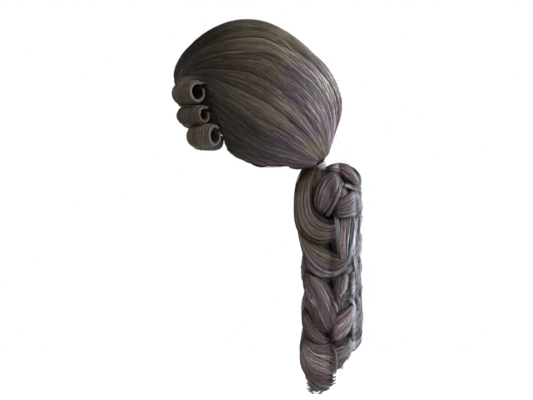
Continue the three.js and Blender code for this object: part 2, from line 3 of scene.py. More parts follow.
import bpy
import numpy as np
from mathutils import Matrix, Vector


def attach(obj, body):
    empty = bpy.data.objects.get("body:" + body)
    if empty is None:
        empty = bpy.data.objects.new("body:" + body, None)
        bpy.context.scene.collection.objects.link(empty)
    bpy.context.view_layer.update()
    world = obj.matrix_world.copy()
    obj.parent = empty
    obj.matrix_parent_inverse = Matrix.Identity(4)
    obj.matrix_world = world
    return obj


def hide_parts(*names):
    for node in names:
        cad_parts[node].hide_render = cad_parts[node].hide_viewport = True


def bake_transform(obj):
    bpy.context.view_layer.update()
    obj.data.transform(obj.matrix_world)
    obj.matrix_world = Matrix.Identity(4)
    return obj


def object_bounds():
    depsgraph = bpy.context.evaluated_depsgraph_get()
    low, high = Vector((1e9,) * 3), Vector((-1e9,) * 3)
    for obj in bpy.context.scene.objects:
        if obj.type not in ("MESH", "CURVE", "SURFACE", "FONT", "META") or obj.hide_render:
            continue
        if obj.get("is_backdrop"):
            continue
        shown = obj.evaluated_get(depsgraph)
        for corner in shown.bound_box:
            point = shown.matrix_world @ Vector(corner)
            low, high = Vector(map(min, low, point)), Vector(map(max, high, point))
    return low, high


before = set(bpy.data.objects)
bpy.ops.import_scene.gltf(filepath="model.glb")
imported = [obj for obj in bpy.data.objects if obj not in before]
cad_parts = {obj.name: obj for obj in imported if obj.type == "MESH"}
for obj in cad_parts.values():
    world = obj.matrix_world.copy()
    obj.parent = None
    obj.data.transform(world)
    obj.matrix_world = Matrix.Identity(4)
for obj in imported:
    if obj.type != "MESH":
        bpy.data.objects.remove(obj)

CAD_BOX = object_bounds()
MM = 0.001

# ---------------------------------------------------------------------------
# Camera, square on the wearer's left side
# ---------------------------------------------------------------------------
CAM_DISTANCE = 2.3
VIEW_WIDTH = 0.7462          # metres across the picture at the centre plane
camera_data = bpy.data.cameras.new("camera")
camera_data.sensor_width = 36.0
camera_data.lens = 36.0 * CAM_DISTANCE / VIEW_WIDTH
camera_data.clip_start, camera_data.clip_end = 0.05, 60
camera = bpy.data.objects.new("camera", camera_data)
camera.location = (CAM_DISTANCE, 0.0203, -0.140)
camera.rotation_euler = (math.radians(90), 0, math.radians(90))
bpy.context.collection.objects.link(camera)
bpy.context.scene.camera = camera


# ---------------------------------------------------------------------------
# Small maths
# ---------------------------------------------------------------------------
def smooth(x):
    x = np.clip(x, 0, 1)
    return x * x * (3 - 2 * x)


def unit(v):
    return v / np.maximum(np.linalg.norm(v, axis=-1, keepdims=True), 1e-12)


def hash2(i, j, seed):
    i = i.astype(np.int64)
    j = j.astype(np.int64)
    n = (i * 374761393 + j * 668265263 + seed * 1442695041) & 0xFFFFFFFF
    n = ((n ^ (n >> 13)) * 1274126177) & 0xFFFFFFFF
    n = ((n ^ (n >> 15)) * 2246822519) & 0xFFFFFFFF
    return ((n ^ (n >> 16)) & 0xFFFFF) / 1048575.0


def vnoise(x, y, seed):
    """Smooth value noise in -1..1."""
    x, y = np.broadcast_arrays(np.asarray(x, float), np.asarray(y, float))
    xi, yi = np.floor(x), np.floor(y)
    fx, fy = smooth(x - xi), smooth(y - yi)
    a = hash2(xi, yi, seed)
    b = hash2(xi + 1, yi, seed)
    c = hash2(xi, yi + 1, seed)
    d = hash2(xi + 1, yi + 1, seed)
    return 2 * ((a * (1 - fx) + b * fx) * (1 - fy) + (c * (1 - fx) + d * fx) * fy) - 1


# ---------------------------------------------------------------------------
# The hair dome's shape, the same one as the solids have
# ---------------------------------------------------------------------------
POLE = np.array([0, -10.4, -32.0])
FORE = unit(np.array([0, -0.8886, 0.4586]))
TOP = unit(np.array([0, 0.4586, 0.8886]))
LEFT = np.array([1.0, 0, 0])
TH = [0, 4, 10, 20, 30, 40, 50, 60, 70, 80, 90, 100, 110, 120, 130, 140, 150, 160, 170, 175, 178, 180]
RT = [122, 122, 123, 126, 132.5, 138, 139, 137.3, 135.8, 135.6, 138.5, 142, 143.6, 143, 140.5, 136.3, 131.8, 128, 122.5, 115, 107.6, 104]
RS = [122, 120, 114, 106, 98.5, 93, 89.5, 87, 85.8, 85.2, 85, 85, 86, 90, 95, 99.5, 103, 104.4, 104.5, 104.3, 104, 104]
RN = [122, 118, 104, 88, 78, 78, 82, 86, 86, 83, 79, 76, 76, 80, 86, 91, 96, 100, 103, 103.6, 104, 104]
_fine = np.arange(-20, 200.01, 0.5)


def _table(values, sigma=2.6):
    v = np.interp(np.clip(np.abs(_fine), 0, 180), TH, values)
    k = np.exp(-0.5 * (np.arange(-16, 17) * 0.5 / sigma) ** 2)
    padded = np.pad(v, 16, mode="edge")
    out = np.convolve(padded, k / k.sum(), mode="valid")
    return out


_RT, _RS, _RN = _table(RT), _table(RS), _table(RN)
EDGE_TH = [0, 90, 100, 110, 120, 130, 135, 140, 150, 160, 170, 180]
EDGE_PH = [125, 125, 115, 105, 96, 82, 73, 68, 67, 66, 66, 66]


def hair_radius(phi, theta):
    p = np.abs((phi + 540) % 360 - 180)
    t = np.interp(theta, _fine, _RT)
    s = np.interp(theta, _fine, _RS)
    n = np.interp(theta, _fine, _RN)
    pr = np.radians(p)
    c, sn = np.abs(np.cos(pr)), np.abs(np.sin(pr))
    power = np.where(p <= 90, 2.3, 2.0)
    a = np.where(p <= 90, t, n)
    return ((c / a) ** power + (sn / s) ** power) ** (-1 / power)


def direction(phi, theta):
    p, t = np.radians(phi)[..., None], np.radians(theta)[..., None]
    return -np.cos(t) * FORE + np.sin(t) * (np.cos(p) * TOP + np.sin(p) * LEFT)


def on_hair(phi, theta, off):
    phi, theta, off = np.broadcast_arrays(phi, theta, off)
    return POLE + direction(phi, theta) * (hair_radius(phi, theta) + off)[..., None]


# ---------------------------------------------------------------------------
# Materials
# ---------------------------------------------------------------------------
LEVELS = 11
LADDER = [0.0065, 0.011, 0.018, 0.028, 0.044, 0.068, 0.104, 0.160, 0.25, 0.39, 0.58]
HUES = {
    "taupe": (1.33, 0.98, 0.55),
    "mauve": (1.38, 0.82, 1.03),
    # the ice hue is the tint of the painted cool highlights, where the back light falls
    "ice_highlight": (0.92, 1.02, 1.09),
}


def principled(name, color, rough=0.5, spec=0.5, metal=0.0):
    m = bpy.data.materials.new(name)
    m.use_nodes = True
    b = m.node_tree.nodes["Principled BSDF"]
    b.inputs["Base Color"].default_value = (*color, 1)
    b.inputs["Roughness"].default_value = rough
    b.inputs["Metallic"].default_value = metal
    b.inputs["Specular IOR Level"].default_value = spec
    m.diffuse_color = (*color, 1)
    return m, b


def hair_material(name, color, rough):
    """A lock-to-lock finish: the gloss and the fine bump vary along the fibre."""
    m, b = principled(name, color, rough, 0.12 + 0.2 * min(1.0, color[1] / 0.07))
    t = m.node_tree
    co = t.nodes.new("ShaderNodeTexCoord")
    noise = t.nodes.new("ShaderNodeTexNoise")
    noise.inputs["Scale"].default_value = 180.0
    noise.inputs["Detail"].default_value = 3.0
    ramp = t.nodes.new("ShaderNodeMapRange")
    ramp.inputs["To Min"].default_value = rough - 0.08
    ramp.inputs["To Max"].default_value = rough + 0.10
    fine = t.nodes.new("ShaderNodeTexNoise")
    fine.inputs["Scale"].default_value = 1400.0
    bump = t.nodes.new("ShaderNodeBump")
    bump.inputs["Strength"].default_value = 0.18
    bump.inputs["Distance"].default_value = 0.0002
    t.links.new(co.outputs["Object"], noise.inputs["Vector"])
    t.links.new(co.outputs["Object"], fine.inputs["Vector"])
    t.links.new(noise.outputs["Fac"], ramp.inputs["Value"])
    t.links.new(ramp.outputs["Result"], b.inputs["Roughness"])
    t.links.new(fine.outputs["Fac"], bump.inputs["Height"])
    t.links.new(bump.outputs["Normal"], b.inputs["Normal"])
    b.inputs["Sheen Weight"].default_value = 0.04
    b.inputs["Sheen Roughness"].default_value = 0.4
    b.inputs["Sheen Tint"].default_value = (0.85, 0.92, 1.0, 1)
    return m


PALETTE = []
for hue_name, tint in HUES.items():
    for i, level in enumerate(LADDER):
        # light strands are paler in hue than dark ones
        pale = min(1.0, max(0.0, (i - 4) / 4.0)) * 0.45
        colour = tuple(min(1.0, level * (c * (1 - pale) + pale)) for c in tint)
        PALETTE.append(hair_material(f"hair_{hue_name}_{i}", colour, 0.40 if i > 2 else 0.46))


def pick(level, hue, rng_dither):
    """Palette index from a level in 0..8 and a hue in 0..2, dithered."""
    l = np.clip(np.floor(level + rng_dither[..., 0]), 0, LEVELS - 1).astype(np.int32)
    h = np.clip(np.floor(hue + rng_dither[..., 1]), 0, 2).astype(np.int32)
    return h * LEVELS + l


# ---------------------------------------------------------------------------
# Mesh making
# ---------------------------------------------------------------------------
def make_mesh(name, verts, faces, mat_index=None, materials=(), smooth_shade=True):
    """verts (n,3) in mm; faces (m,4) with -1 in the last column for a triangle."""
    me = bpy.data.meshes.new(name)
    verts = np.asarray(verts, np.float32) * MM
    faces = np.asarray(faces, np.int32)
    tri = faces[:, 3] < 0
    counts = np.where(tri, 3, 4).astype(np.int32)
    loops = faces.reshape(-1)
    loops = loops[loops >= 0]
    me.vertices.add(len(verts))
    me.vertices.foreach_set("co", verts.reshape(-1))
    me.loops.add(len(loops))
    me.loops.foreach_set("vertex_index", loops)
    starts = np.concatenate([[0], np.cumsum(counts)[:-1]]).astype(np.int32)
    me.polygons.add(len(faces))
    me.polygons.foreach_set("loop_start", starts)
    me.polygons.foreach_set("loop_total", counts)
    me.polygons.foreach_set("use_smooth", np.full(len(faces), smooth_shade, bool))
    for m in materials:
        me.materials.append(m)
    if mat_index is not None:
        me.polygons.foreach_set("material_index", np.asarray(mat_index, np.int32))
    me.update(calc_edges=True)
    me.validate()
    ob = bpy.data.objects.new(name, me)
    bpy.context.collection.objects.link(ob)
    return ob


class Build:
    """Collects solids of several kinds into one mesh."""

    def __init__(self):
        self.v, self.f, self.m, self.n = [], [], [], 0

    def put(self, v, f, m):
        self.v.append(v)
        self.f.append(np.where(f >= 0, f + self.n, -1))
        self.m.append(m)
        self.n += len(v)

    def strands(self, path, radius, normal, mat, sides=3, flat=0.62):
        """path (S,N,3), radius (S,N), normal (S,N,3) outward, mat (S,N) index into the palette."""
        S, N = path.shape[:2]
        if S == 0:
            return
        tan = np.gradient(path, axis=1)
        tan = unit(tan)
        nrm = normal - (normal * tan).sum(-1, keepdims=True) * tan
        nrm = unit(nrm)
        bi = np.cross(tan, nrm)
        ang = np.pi / 2 + np.arange(sides) * 2 * np.pi / sides
        ring = (path[:, :, None, :]
                + radius[:, :, None, None] * (np.cos(ang)[None, None, :, None] * bi[:, :, None, :]
                                              + flat * np.sin(ang)[None, None, :, None] * nrm[:, :, None, :]))
        v = ring.reshape(-1, 3)
        s = np.arange(S)[:, None, None] * N * sides
        i = np.arange(N - 1)[None, :, None] * sides
        k = np.arange(sides)[None, None, :]
        k2 = (k + 1) % sides
        a, b = s + i + k, s + i + k2
        quads = np.stack([a, b, b + sides, a + sides], -1).reshape(-1, 4)
        m = np.repeat(mat[:, :-1].reshape(-1), sides)
        caps, capm = [], []
        base = np.arange(S) * N * sides
        last = base + (N - 1) * sides
        if sides == 3:
            caps.append(np.stack([base, base + 2, base + 1, np.full(S, -1)], -1))
            caps.append(np.stack([last, last + 1, last + 2, np.full(S, -1)], -1))
        else:
            caps.append(np.stack([base, base + 3, base + 2, base + 1], -1))
            caps.append(np.stack([last, last + 1, last + 2, last + 3], -1))
        capm = [mat[:, 0], mat[:, -2]]
        self.put(v, np.concatenate([quads, *caps]), np.concatenate([m, *capm]))

    def slab(self, outer, inner, mat):
        """Closed solid between two grids (R,C,3); mat (R-1,C-1) or a number."""
        R, C = outer.shape[:2]
        v = np.concatenate([outer.reshape(-1, 3), inner.reshape(-1, 3)])
        o = np.arange(R * C).reshape(R, C)
        n = o + R * C
        f = [np.stack([o[:-1, :-1], o[:-1, 1:], o[1:, 1:], o[1:, :-1]], -1).reshape(-1, 4),
             np.stack([n[:-1, :-1], n[1:, :-1], n[1:, 1:], n[:-1, 1:]], -1).reshape(-1, 4)]
        f.append(np.stack([o[:-1, 0], o[1:, 0], n[1:, 0], n[:-1, 0]], -1))
        f.append(np.stack([o[1:, -1], o[:-1, -1], n[:-1, -1], n[1:, -1]], -1))
        f.append(np.stack([o[0, 1:], o[0, :-1], n[0, :-1], n[0, 1:]], -1))
        f.append(np.stack([o[-1, :-1], o[-1, 1:], n[-1, 1:], n[-1, :-1]], -1))
        f = np.concatenate(f)
        # make the faces point out: test with the signed volume
        q = v[f]
        vol = np.einsum("ij,ij->i", q[:, 0], np.cross(q[:, 1], q[:, 2])).sum() + np.einsum("ij,ij->i", q[:, 0], np.cross(q[:, 2], q[:, 3])).sum()
        if vol < 0:
            f = f[:, ::-1]
        if np.isscalar(mat):
            m = np.full(len(f), mat)
        else:
            m = np.concatenate([mat.reshape(-1), mat.reshape(-1), mat[:, 0], mat[:, -1], mat[0], mat[-1]])
        self.put(v, f, m)

    def tube(self, rings, mat):
        """Closed tube through rings (R,K,3)."""
        R, K = rings.shape[:2]
        a = rings[0].mean(0)
        b = rings[-1].mean(0)
        v = np.concatenate([rings.reshape(-1, 3), a[None], b[None]])
        i = (np.arange(R - 1) * K)[:, None]
        k = np.arange(K)[None, :]
        k2 = (k + 1) % K
        f = np.stack([i + k, i + k2, i + k2 + K, i + k + K], -1).reshape(-1, 4)
        kk = np.arange(K)
        e = (R - 1) * K
        f = np.concatenate([f,
                            np.stack([np.full(K, R * K), (kk + 1) % K, kk, np.full(K, -1)], -1),
                            np.stack([np.full(K, R * K + 1), e + kk, e + (kk + 1) % K, np.full(K, -1)], -1)])
        q = v[np.where(f < 0, f[:, :1], f)]
        vol = np.einsum("ij,ij->i", q[:, 0], np.cross(q[:, 1], q[:, 2])).sum() + np.einsum("ij,ij->i", q[:, 0], np.cross(q[:, 2], q[:, 3])).sum()
        if vol < 0:
            quad = f[:, 3] >= 0
            f[quad] = f[quad][:, ::-1]
            f[~quad, :3] = f[~quad][:, [0, 2, 1]]
        self.put(v, f, np.full(len(f), mat))

    def object(self, name, materials):
        v, f, m = np.concatenate(self.v), np.concatenate(self.f), np.concatenate(self.m).astype(np.int32)
        used = np.unique(m)
        remap = np.zeros(max(len(materials), used.max() + 1), np.int32)
        remap[used] = np.arange(len(used))
        return make_mesh(name, v, f, remap[m], [materials[i] for i in used])


def done(ob, body, slot, *nodes):
    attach(ob, body)
    if nodes:
        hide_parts(*nodes)
    return ob


# ---------------------------------------------------------------------------
# Flow of the hair over the head
# ---------------------------------------------------------------------------
Q_KEYS = [0, 12, 25, 40, 55, 68, 80, 90, 100, 110, 118, 125]
START_TH = [178.6, 177.6, 176, 170, 161, 152, 141, 132.5, 122.5, 111.5, 101.5, 91]
START_PH = [0, 36, 64, 66, 66, 67, 68, 78.5, 93, 103.5, 113.5, 124]


def hair_start(q):
    a = np.abs(q)
    return np.interp(a, Q_KEYS, START_PH) * np.sign(q), np.interp(a, Q_KEYS, START_TH)


def flow(q, t, theta_end=9.0):
    """phi, theta along the strand with back angle q, t 0 at the hairline and 1 at the gather."""
    ph, th0 = hair_start(q)
    theta = th0 + (theta_end - th0) * t
    mid = np.maximum(th0 - 78, 10)
    w = np.clip((theta - mid) / (th0 - mid), 0, 1) ** 1.55
    return q + (ph - q) * w, theta


def theta_of(q, t):
    _, th0 = hair_start(q)
    return th0 + (9.0 - th0) * t


def locks(q, theta, width, seed, wander=0.35):
    """Lock number and the position across it, 0..1, with wandering boundaries."""
    x = q / width + wander * 2 * vnoise(q / (width * 2.2), theta / 34.0, seed) + 0.35 * vnoise(q / width * 0.7, theta / 12.0, seed + 5)
    n = np.floor(x)
    return n, x - n


def relief(q, theta):
    """How far the locks stand off the plain dome, in mm."""
    n1, a = locks(q, theta, 15.0, 11)
    n2, b = locks(q, theta, 5.6, 23)
    n3, c = locks(q, theta, 2.1, 37, 0.5)
    h1 = 1 - np.abs(2 * a - 1) ** 2.4
    h2 = 1 - np.abs(2 * b - 1) ** 2.0
    h3 = 1 - np.abs(2 * c - 1) ** 1.6
    s1 = hash2(n1, n1 * 0, 3)
    s2 = hash2(n2, n2 * 0, 4)
    fade = smooth((theta - 8) / 30.0) * (0.35 + 0.65 * smooth((176 - theta) / 25.0))
    d = 1.7 * (h1 * (0.5 + s1) - 0.55) + 1.05 * (h2 * (0.5 + s2) - 0.5) + 0.5 * (h3 - 0.5)
    return d * fade


def spot(u, v, cu, cv, su, sv):
    return np.exp(-((u - cu) / su) ** 2 - ((v - cv) / sv) ** 2)


def head_tone(pos, q, theta):
    """Level and hue of the hair at a place on the head, before the strand's own: partly the hair's own colour, partly
    painted light and shade.
    """
    y, z = pos[..., 1], pos[..., 2]
    u, v = y / 1.4, -z / 1.4
    cloud = vnoise(q / 16.0 + 3.1, theta / 30.0, 77)
    # painted light and shade: the level rises toward the back and over the top, where the light falls, and drops at the
    # front and low at the front, where the hair is also darker in its own colour
    back = smooth((y + 100) / 195.0)
    level = 1.1 + 3.6 * back
    level = level + 0.5 * smooth((y - 60) / 45.0) * smooth((z + 95) / 60.0)
    level = level + 1.5 * smooth((z - 35) / 70.0) * smooth((y + 62) / 50.0)
    level = level - 0.9 * smooth((-72 - y) / 30.0)
    level = level - 0.95 * smooth((60 - y) / 60.0) * smooth((-12 - z) / 45.0)
    # a darker patch and a lighter patch, then a random cloud
    level = level - 0.55 * spot(u, v, 52, -4, 26, 30)
    level = level + 0.30 * cloud + 0.75 * spot(u, v, 72, 18, 12, 12)
    # mauve lies in a broad sash from the hem up the back of the head, the hair's own colour;
    # the cool grey patch above it and the pale rim by the tie are a painted cool highlight from the back light
    sash = np.clip(((u - 13) * 70 + (v - 58) * -46) / 7016.0, 0, 1)
    away = np.hypot(u - 13 - 70 * sash, v - 58 + 46 * sash)
    mauve = 0.10 + 1.15 * np.exp(-(away / 9.5) ** 2)
    mauve = mauve + 0.45 * spot(u, v, 2, 14, 16, 12) * smooth(cloud + 0.6)
    mauve = np.maximum(mauve, 0.85 * smooth((v - 50) / 10.0) * smooth((u - 12) / 22.0))
    cool = spot(u, v, 50, -16, 20, 22) * (0.8 + 0.5 * cloud) + 0.9 * spot(u, v, 84, 34, 9, 17) + 0.45 * spot(u, v, 26, 38, 18, 8)
    hue = mauve + (1.55 - np.clip(mauve, 0, 1.4)) * np.clip(cool, 0, 1)
    return level, hue


def tie_radial(phi):
    p = np.radians(phi)[..., None]
    return np.cos(p) * np.array([0, 0.893, 0.45]) + np.sin(p) * LEFT


TIE = np.array([0, 98, -93.8])
TIE_AXIS = unit(np.array([0, 0.45, -0.893]))


def hermite(p0, m0, p1, m1, t):
    t = t[..., None]
    return ((2 * t ** 3 - 3 * t ** 2 + 1) * p0 + (t ** 3 - 2 * t ** 2 + t) * m0
            + (-2 * t ** 3 + 3 * t ** 2) * p1 + (t ** 3 - t ** 2) * m1)


def head_strands(q, t0, t1, lift, n_surf, n_end, sway, seed, to_tie, radius):
    """Strands over the head. q (S,), t0/t1 start and end along the flow, lift (S,) mm over the locks."""
    S = len(q)
    rng = np.random.default_rng(seed)
    t = np.linspace(0, 1, n_surf)[None, :]
    tt = t0[:, None] + (t1 - t0)[:, None] * t
    qq = q[:, None] + np.zeros_like(tt)
    # strands drift across the flow and back
    drift = sway[:, None] * np.sin(np.pi * np.clip(tt, 0, 1) * rng.uniform(0.8, 2.2, S)[:, None] + rng.uniform(0, 6.28, S)[:, None]) * np.sin(np.pi * np.clip(tt, 0, 1))
    phi, theta = flow(qq, tt)
    qd = qq + drift + 2.6 * vnoise(qq / 13.0, theta_of(qq, tt) / 27.0, 55) * np.sin(np.pi * np.clip(tt, 0, 1))
    phi2, _ = flow(np.clip(qd, -150, 150), tt)
    phi = phi2
    off = relief(qd, theta) + lift[:, None]
    off = off + 0.25 * vnoise(qq * 3.1, theta / 9.0, seed + 2)
    # a strand that starts or ends part way lies down into the hair there
    free0 = (t0 > 0.02)[:, None]
    free1 = (t1 < 0.98)[:, None]
    off = off - free0 * 1.6 * (1 - smooth(t / 0.12)) - free1 * 1.3 * (1 - smooth((1 - t) / 0.12))
    pos = on_hair(phi, theta, off)
    nrm = direction(phi, theta)
    if to_tie:
        p0, m0 = pos[:, -1], (pos[:, -1] - pos[:, -2])
        m0 = unit(m0)
        lay = rng.uniform(0.75, 1.0, S)
        rad = tie_radial(phi[:, -1])
        p1 = TIE - TIE_AXIS * 5.5 + rad * (5.9 * lay)[:, None]
        dist = np.linalg.norm(p1 - p0, axis=1)[:, None]
        u = np.linspace(0, 1, n_end + 1)[None, 1:] * np.ones((S, 1))
        end = hermite(p0[:, None], (m0 * dist * 1.0)[:, None], p1[:, None], (TIE_AXIS * dist * 1.1)[:, None], u)
        tail = p1[:, None] + TIE_AXIS * np.array([3.5, 7.0])[None, :, None]
        en = rad[:, None] + np.zeros_like(end)
        nn = unit(nrm[:, -1:] * (1 - u[..., None]) + en * u[..., None])
        pos = np.concatenate([pos, end, tail], 1)
        nrm = np.concatenate([nrm, nn, np.repeat(rad[:, None], 2, 1)], 1)
        theta = np.concatenate([theta, np.full((S, n_end + 2), 9.0)], 1)
        qd = np.concatenate([qd, np.repeat(qd[:, -1:], n_end + 2, 1)], 1)
    N = pos.shape[1]
    level, hue = head_tone(pos, qd, theta)
    n2, b = locks(qd, theta, 5.6, 23)
    n3, c = locks(qd, theta, 2.1, 37, 0.5)
    n1, a1 = locks(qd, theta, 15.0, 11)
    level = level + 1.3 * (hash2(n2, n2 * 0, 91) - 0.5) + 1.4 * (hash2(n3, n3 * 0, 92) - 0.5) + 0.7 * (hash2(n1, n1 * 0, 94) - 0.5)
    # painted shade between locks: darker at the edges of each lock
    level = level - 1.1 * np.exp(-(np.minimum(b, 1 - b) / 0.10) ** 2) - 0.6 * np.exp(-(np.minimum(a1, 1 - a1) / 0.05) ** 2)
    level = level + rng.normal(0, 0.62, S)[:, None] + 0.35 * vnoise(qd * 1.3, theta / 16.0, 61)
    hue = hue + rng.normal(0, 0.12, S)[:, None] + 0.20 * (hash2(n3, n3 * 0, 93) - 0.5)
    dither = np.stack([rng.random(S)[:, None] + np.zeros((S, N)), rng.random(S)[:, None] + np.zeros((S, N))], -1)
    mat = pick(level, hue, dither)
    k = np.linspace(0, 1, N)[None, :]
    r = radius[:, None] * (0.35 + 0.65 * smooth(k / 0.06)) * np.where(free1, 0.2 + 0.8 * smooth((1 - k) / 0.10), 1.0)
    return pos, r, nrm, mat


# ---------------------------------------------------------------------------
# Hair dome: a locked under-layer, painted dark as shade under the strands, then strands over it
# ---------------------------------------------------------------------------
def dome_under(name, q0, q1, columns, rows, nodes):
    q = np.linspace(q0, q1, columns)[None, :] + np.zeros((rows, 1))
    t = np.linspace(0.0, 1, rows)[:, None] + np.zeros((1, columns))
    phi, theta = flow(q, t)
    d = relief(q, theta)
    outer = on_hair(phi, theta, d - 1.3)
    inner = on_hair(phi, theta, -6.3 + 0.2 * d + 2.5 * smooth((theta - 165) / 12.0))
    level, hue = head_tone(outer, q, theta)
    rng = np.random.default_rng(5)
    dith = rng.random((rows, columns, 2))
    # the under-layer is painted shade: darker than the strands, and darker still in the hollows between locks
    mat = pick(level - 1.3 - 1.0 * (1 - smooth(d + 0.5)), hue * 0.8, dith)[:-1, :-1]
    b = Build()
    b.slab(outer, inner, mat)
    ob = b.object(name, PALETTE)
    return done(ob, "cap", "hair_taupe", *nodes)


dense = 1.0
dome_under("hair_dome_left", 0.0, 124.8, 210, 150, ("hair_side_left", "hair_top"))
dome_under("hair_dome_right", -124.8, 0.0, 210, 150, ("hair_side_right",))


def dome_strands(name, seed, count, qlo, qhi, lift, radius, to_tie, part=(0, 1), sway=1.2):
    rng = np.random.default_rng(seed)
    count = int(count * dense)
    q = rng.uniform(qlo, qhi, count)
    if part == (0, 1):
        t0 = rng.uniform(-0.004, 0.012, count)
        t1 = np.ones(count)
    else:
        length = rng.uniform(0.28, 0.62, count)
        t0 = rng.uniform(0.0, 0.97 - length, count)
        t1 = t0 + length
    lifts = rng.uniform(lift[0], lift[1], count)
    rad = rng.uniform(radius[0], radius[1], count)
    pos, r, nrm, mat = head_strands(q, t0, t1, lifts, 30 if part == (0, 1) else 22, 7, rng.normal(0, sway, count), seed, to_tie, rad)
    b = Build()
    b.strands(pos, r, nrm, mat)
    return done(b.object(name, PALETTE), "cap", "hair_taupe")


for i, (lo, hi) in enumerate([(-126, -60), (-60, 0), (0, 60), (60, 126)]):
    dome_strands(f"hair_over_{i}", 100 + i, 820, lo, hi, (-1.1, 0.1), (0.42, 0.66), True)
    dome_strands(f"hair_top_coat_{i}", 200 + i, 1000, lo, hi, (-0.5, 0.55), (0.26, 0.46), False, part="short", sway=2.0)


# Nape hair: the short underside that runs forward of the tie round the neck
def nape():
    rng = np.random.default_rng(7)
    b = Build()
    rows, cols = 26, 90
    phi = np.linspace(122, 238, cols)[None, :] + np.zeros((rows, 1))
    fold = np.where(phi <= 180, phi, 360 - phi)
    lim = np.interp(fold, [122, 125, 137.5, 150, 162.5, 180], [30, 27, 22, 17.5, 15, 14])
    s = np.linspace(0, 1, rows)[:, None]
    theta = 8.5 + (lim - 8.5) * s
    ridges = 0.5 * np.abs(np.sin(np.radians(phi) * 42 + 2 * vnoise(phi / 7, theta / 8, 3)))
    outer = on_hair(phi, theta, -0.6 + ridges)
    inner = on_hair(phi, theta, -4.8)
    lev, hue = head_tone(outer, phi, theta)
    # the under-sheet is painted darker as shade under the strands
    b.slab(outer, inner, pick(lev - 1.4, hue, rng.random((rows, cols, 2)))[:-1, :-1])
    S = int(620 * dense)
    ph = rng.uniform(122, 238, S)
    fold = np.where(ph <= 180, ph, 360 - ph)
    lim = np.interp(fold, [122, 125, 137.5, 150, 162.5, 180], [30, 27, 22, 17.5, 15, 14])
    t = np.linspace(0, 1, 12)[None, :]
    th = (lim * rng.uniform(0.9, 1.04, S))[:, None] * (1 - t) + 8.6 * t
    p = ph[:, None] + rng.normal(0, 1.2, S)[:, None] * np.sin(np.pi * t)
    off = rng.uniform(-0.5, 0.8, S)[:, None] + 0.5 * np.abs(np.sin(np.radians(p) * 42))
    pos = on_hair(p, th, off)
    nrm = direction(p, th)
    rad = tie_radial(p[:, -1])
    p0 = pos[:, -1]
    m0 = unit(pos[:, -1] - pos[:, -2])
    p1 = TIE - TIE_AXIS * 5.5 + rad * rng.uniform(4.4, 5.9, S)[:, None]
    dist = np.linalg.norm(p1 - p0, axis=1)[:, None]
    u = np.linspace(0, 1, 7)[None, 1:] * np.ones((S, 1))
    end = hermite(p0[:, None], (m0 * dist)[:, None], p1[:, None], (TIE_AXIS * dist)[:, None], u)
    pos = np.concatenate([pos, end, p1[:, None] + TIE_AXIS * np.array([4.0, 7.0])[None, :, None]], 1)
    nrm = np.concatenate([nrm, np.repeat(rad[:, None], 8, 1)], 1)
    N = pos.shape[1]
    over = N - p.shape[1]
    lev, hue = head_tone(pos, np.pad(p, ((0, 0), (0, over)), mode="edge"), np.pad(th, ((0, 0), (0, over)), mode="edge"))
    lev = lev + rng.normal(0, 0.6, S)[:, None]
    mat = pick(lev, hue + rng.normal(0, .2, S)[:, None], np.repeat(rng.random((S, 1, 2)), N, 1))
    b.strands(pos, np.repeat(rng.uniform(0.3, 0.5, S)[:, None], N, 1), nrm, mat)
    # the gathered neck that runs down inside the tie
    k = np.arange(20) / 20 * 2 * np.pi
    rings = []
    for th_ in (10.5, 8.0, 5.5):
        rings.append(on_hair(np.degrees(k), np.full(20, th_), np.full(20, -2.2)))
    for s_, r_ in ((-5.5, 5.2), (-2, 5.0), (1.5, 5.0)):
        rings.append(TIE + TIE_AXIS * s_ + tie_radial(np.degrees(k)) * r_)
    b.tube(np.array(rings), LEVELS + 2)
    return done(b.object("hair_nape_gather", PALETTE), "cap", "hair_mauve", "hair_nape", "hair_gather")


nape()


# ---------------------------------------------------------------------------
# Buckle rolls
# ---------------------------------------------------------------------------
ROLLS = {
    "upper": ((81, -71.5, 6.5), (47, -98, 5.5), 16.2),
    "middle": ((83, -63, -24.5), (51, -94.5, -24.8), 12.8),
    "lower": ((83.5, -48.5, -52.7), (58, -80, -53), 15.6),
}


def mirror(b, sign):
    """Turn a left-hand build into a right-hand one."""
    if sign > 0:
        return
    for v in b.v:
        v[:, 0] *= -1
    for i, f in enumerate(b.f):
        tri = f[:, 3] < 0
        g = f[:, ::-1].copy()
        g[tri] = np.concatenate([f[tri][:, 2::-1], f[tri][:, 3:]], 1)
        b.f[i] = g


def roll_frame(back, front):
    back, front = np.array(back, float), np.array(front, float)
    ax = unit(front - back)
    out = unit(np.cross([0, 0, 1.0], ax))
    if out[0] < 0:
        out = -out
    up = unit(np.cross(out, ax))
    if up[2] < 0:
        up = -up
    return back, front, ax, out, up


def roll_point(fr, r0, s, a, depth, seed):
    """s along the barrel 0..1, a in degrees round it, depth in mm inside the outer face."""
    back, front, ax, out, up = fr
    f = (118 - a) / 335.0
    shrink = np.where(f < 0.6, 1, 1 - 0.3 * np.clip((f - 0.6) / 0.4, 0, 1) ** 1.2)
    r = r0 * (1 - 0.11 * np.abs(2 * s - 1) ** 4) * shrink
    # past the start of the wrap, the hair runs off toward the scalp
    r = r + np.clip(-f, 0, 1) * 60.0
    n, c = np.floor(s * 7 + 0.7 * vnoise(s * 3, a / 60.0, seed)), None
    x = s * 7 + 0.7 * vnoise(s * 3, a / 60.0, seed)
    c = x - np.floor(x)
    x3 = s * 19 + 0.6 * vnoise(s * 9, a / 40.0, seed + 1)
    c3 = x3 - np.floor(x3)
    ridge = 1.15 * (1 - np.abs(2 * c - 1) ** 2.2) - 0.8 + 0.35 * (1 - np.abs(2 * c3 - 1) ** 1.8)
    r = r + ridge - depth
    ar = np.radians(a)
    cen = back + (front - back) * s[..., None]
    return cen + out * (r * np.cos(ar))[..., None] + up * (r * np.sin(ar))[..., None], out * np.cos(ar)[..., None] + up * np.sin(ar)[..., None]


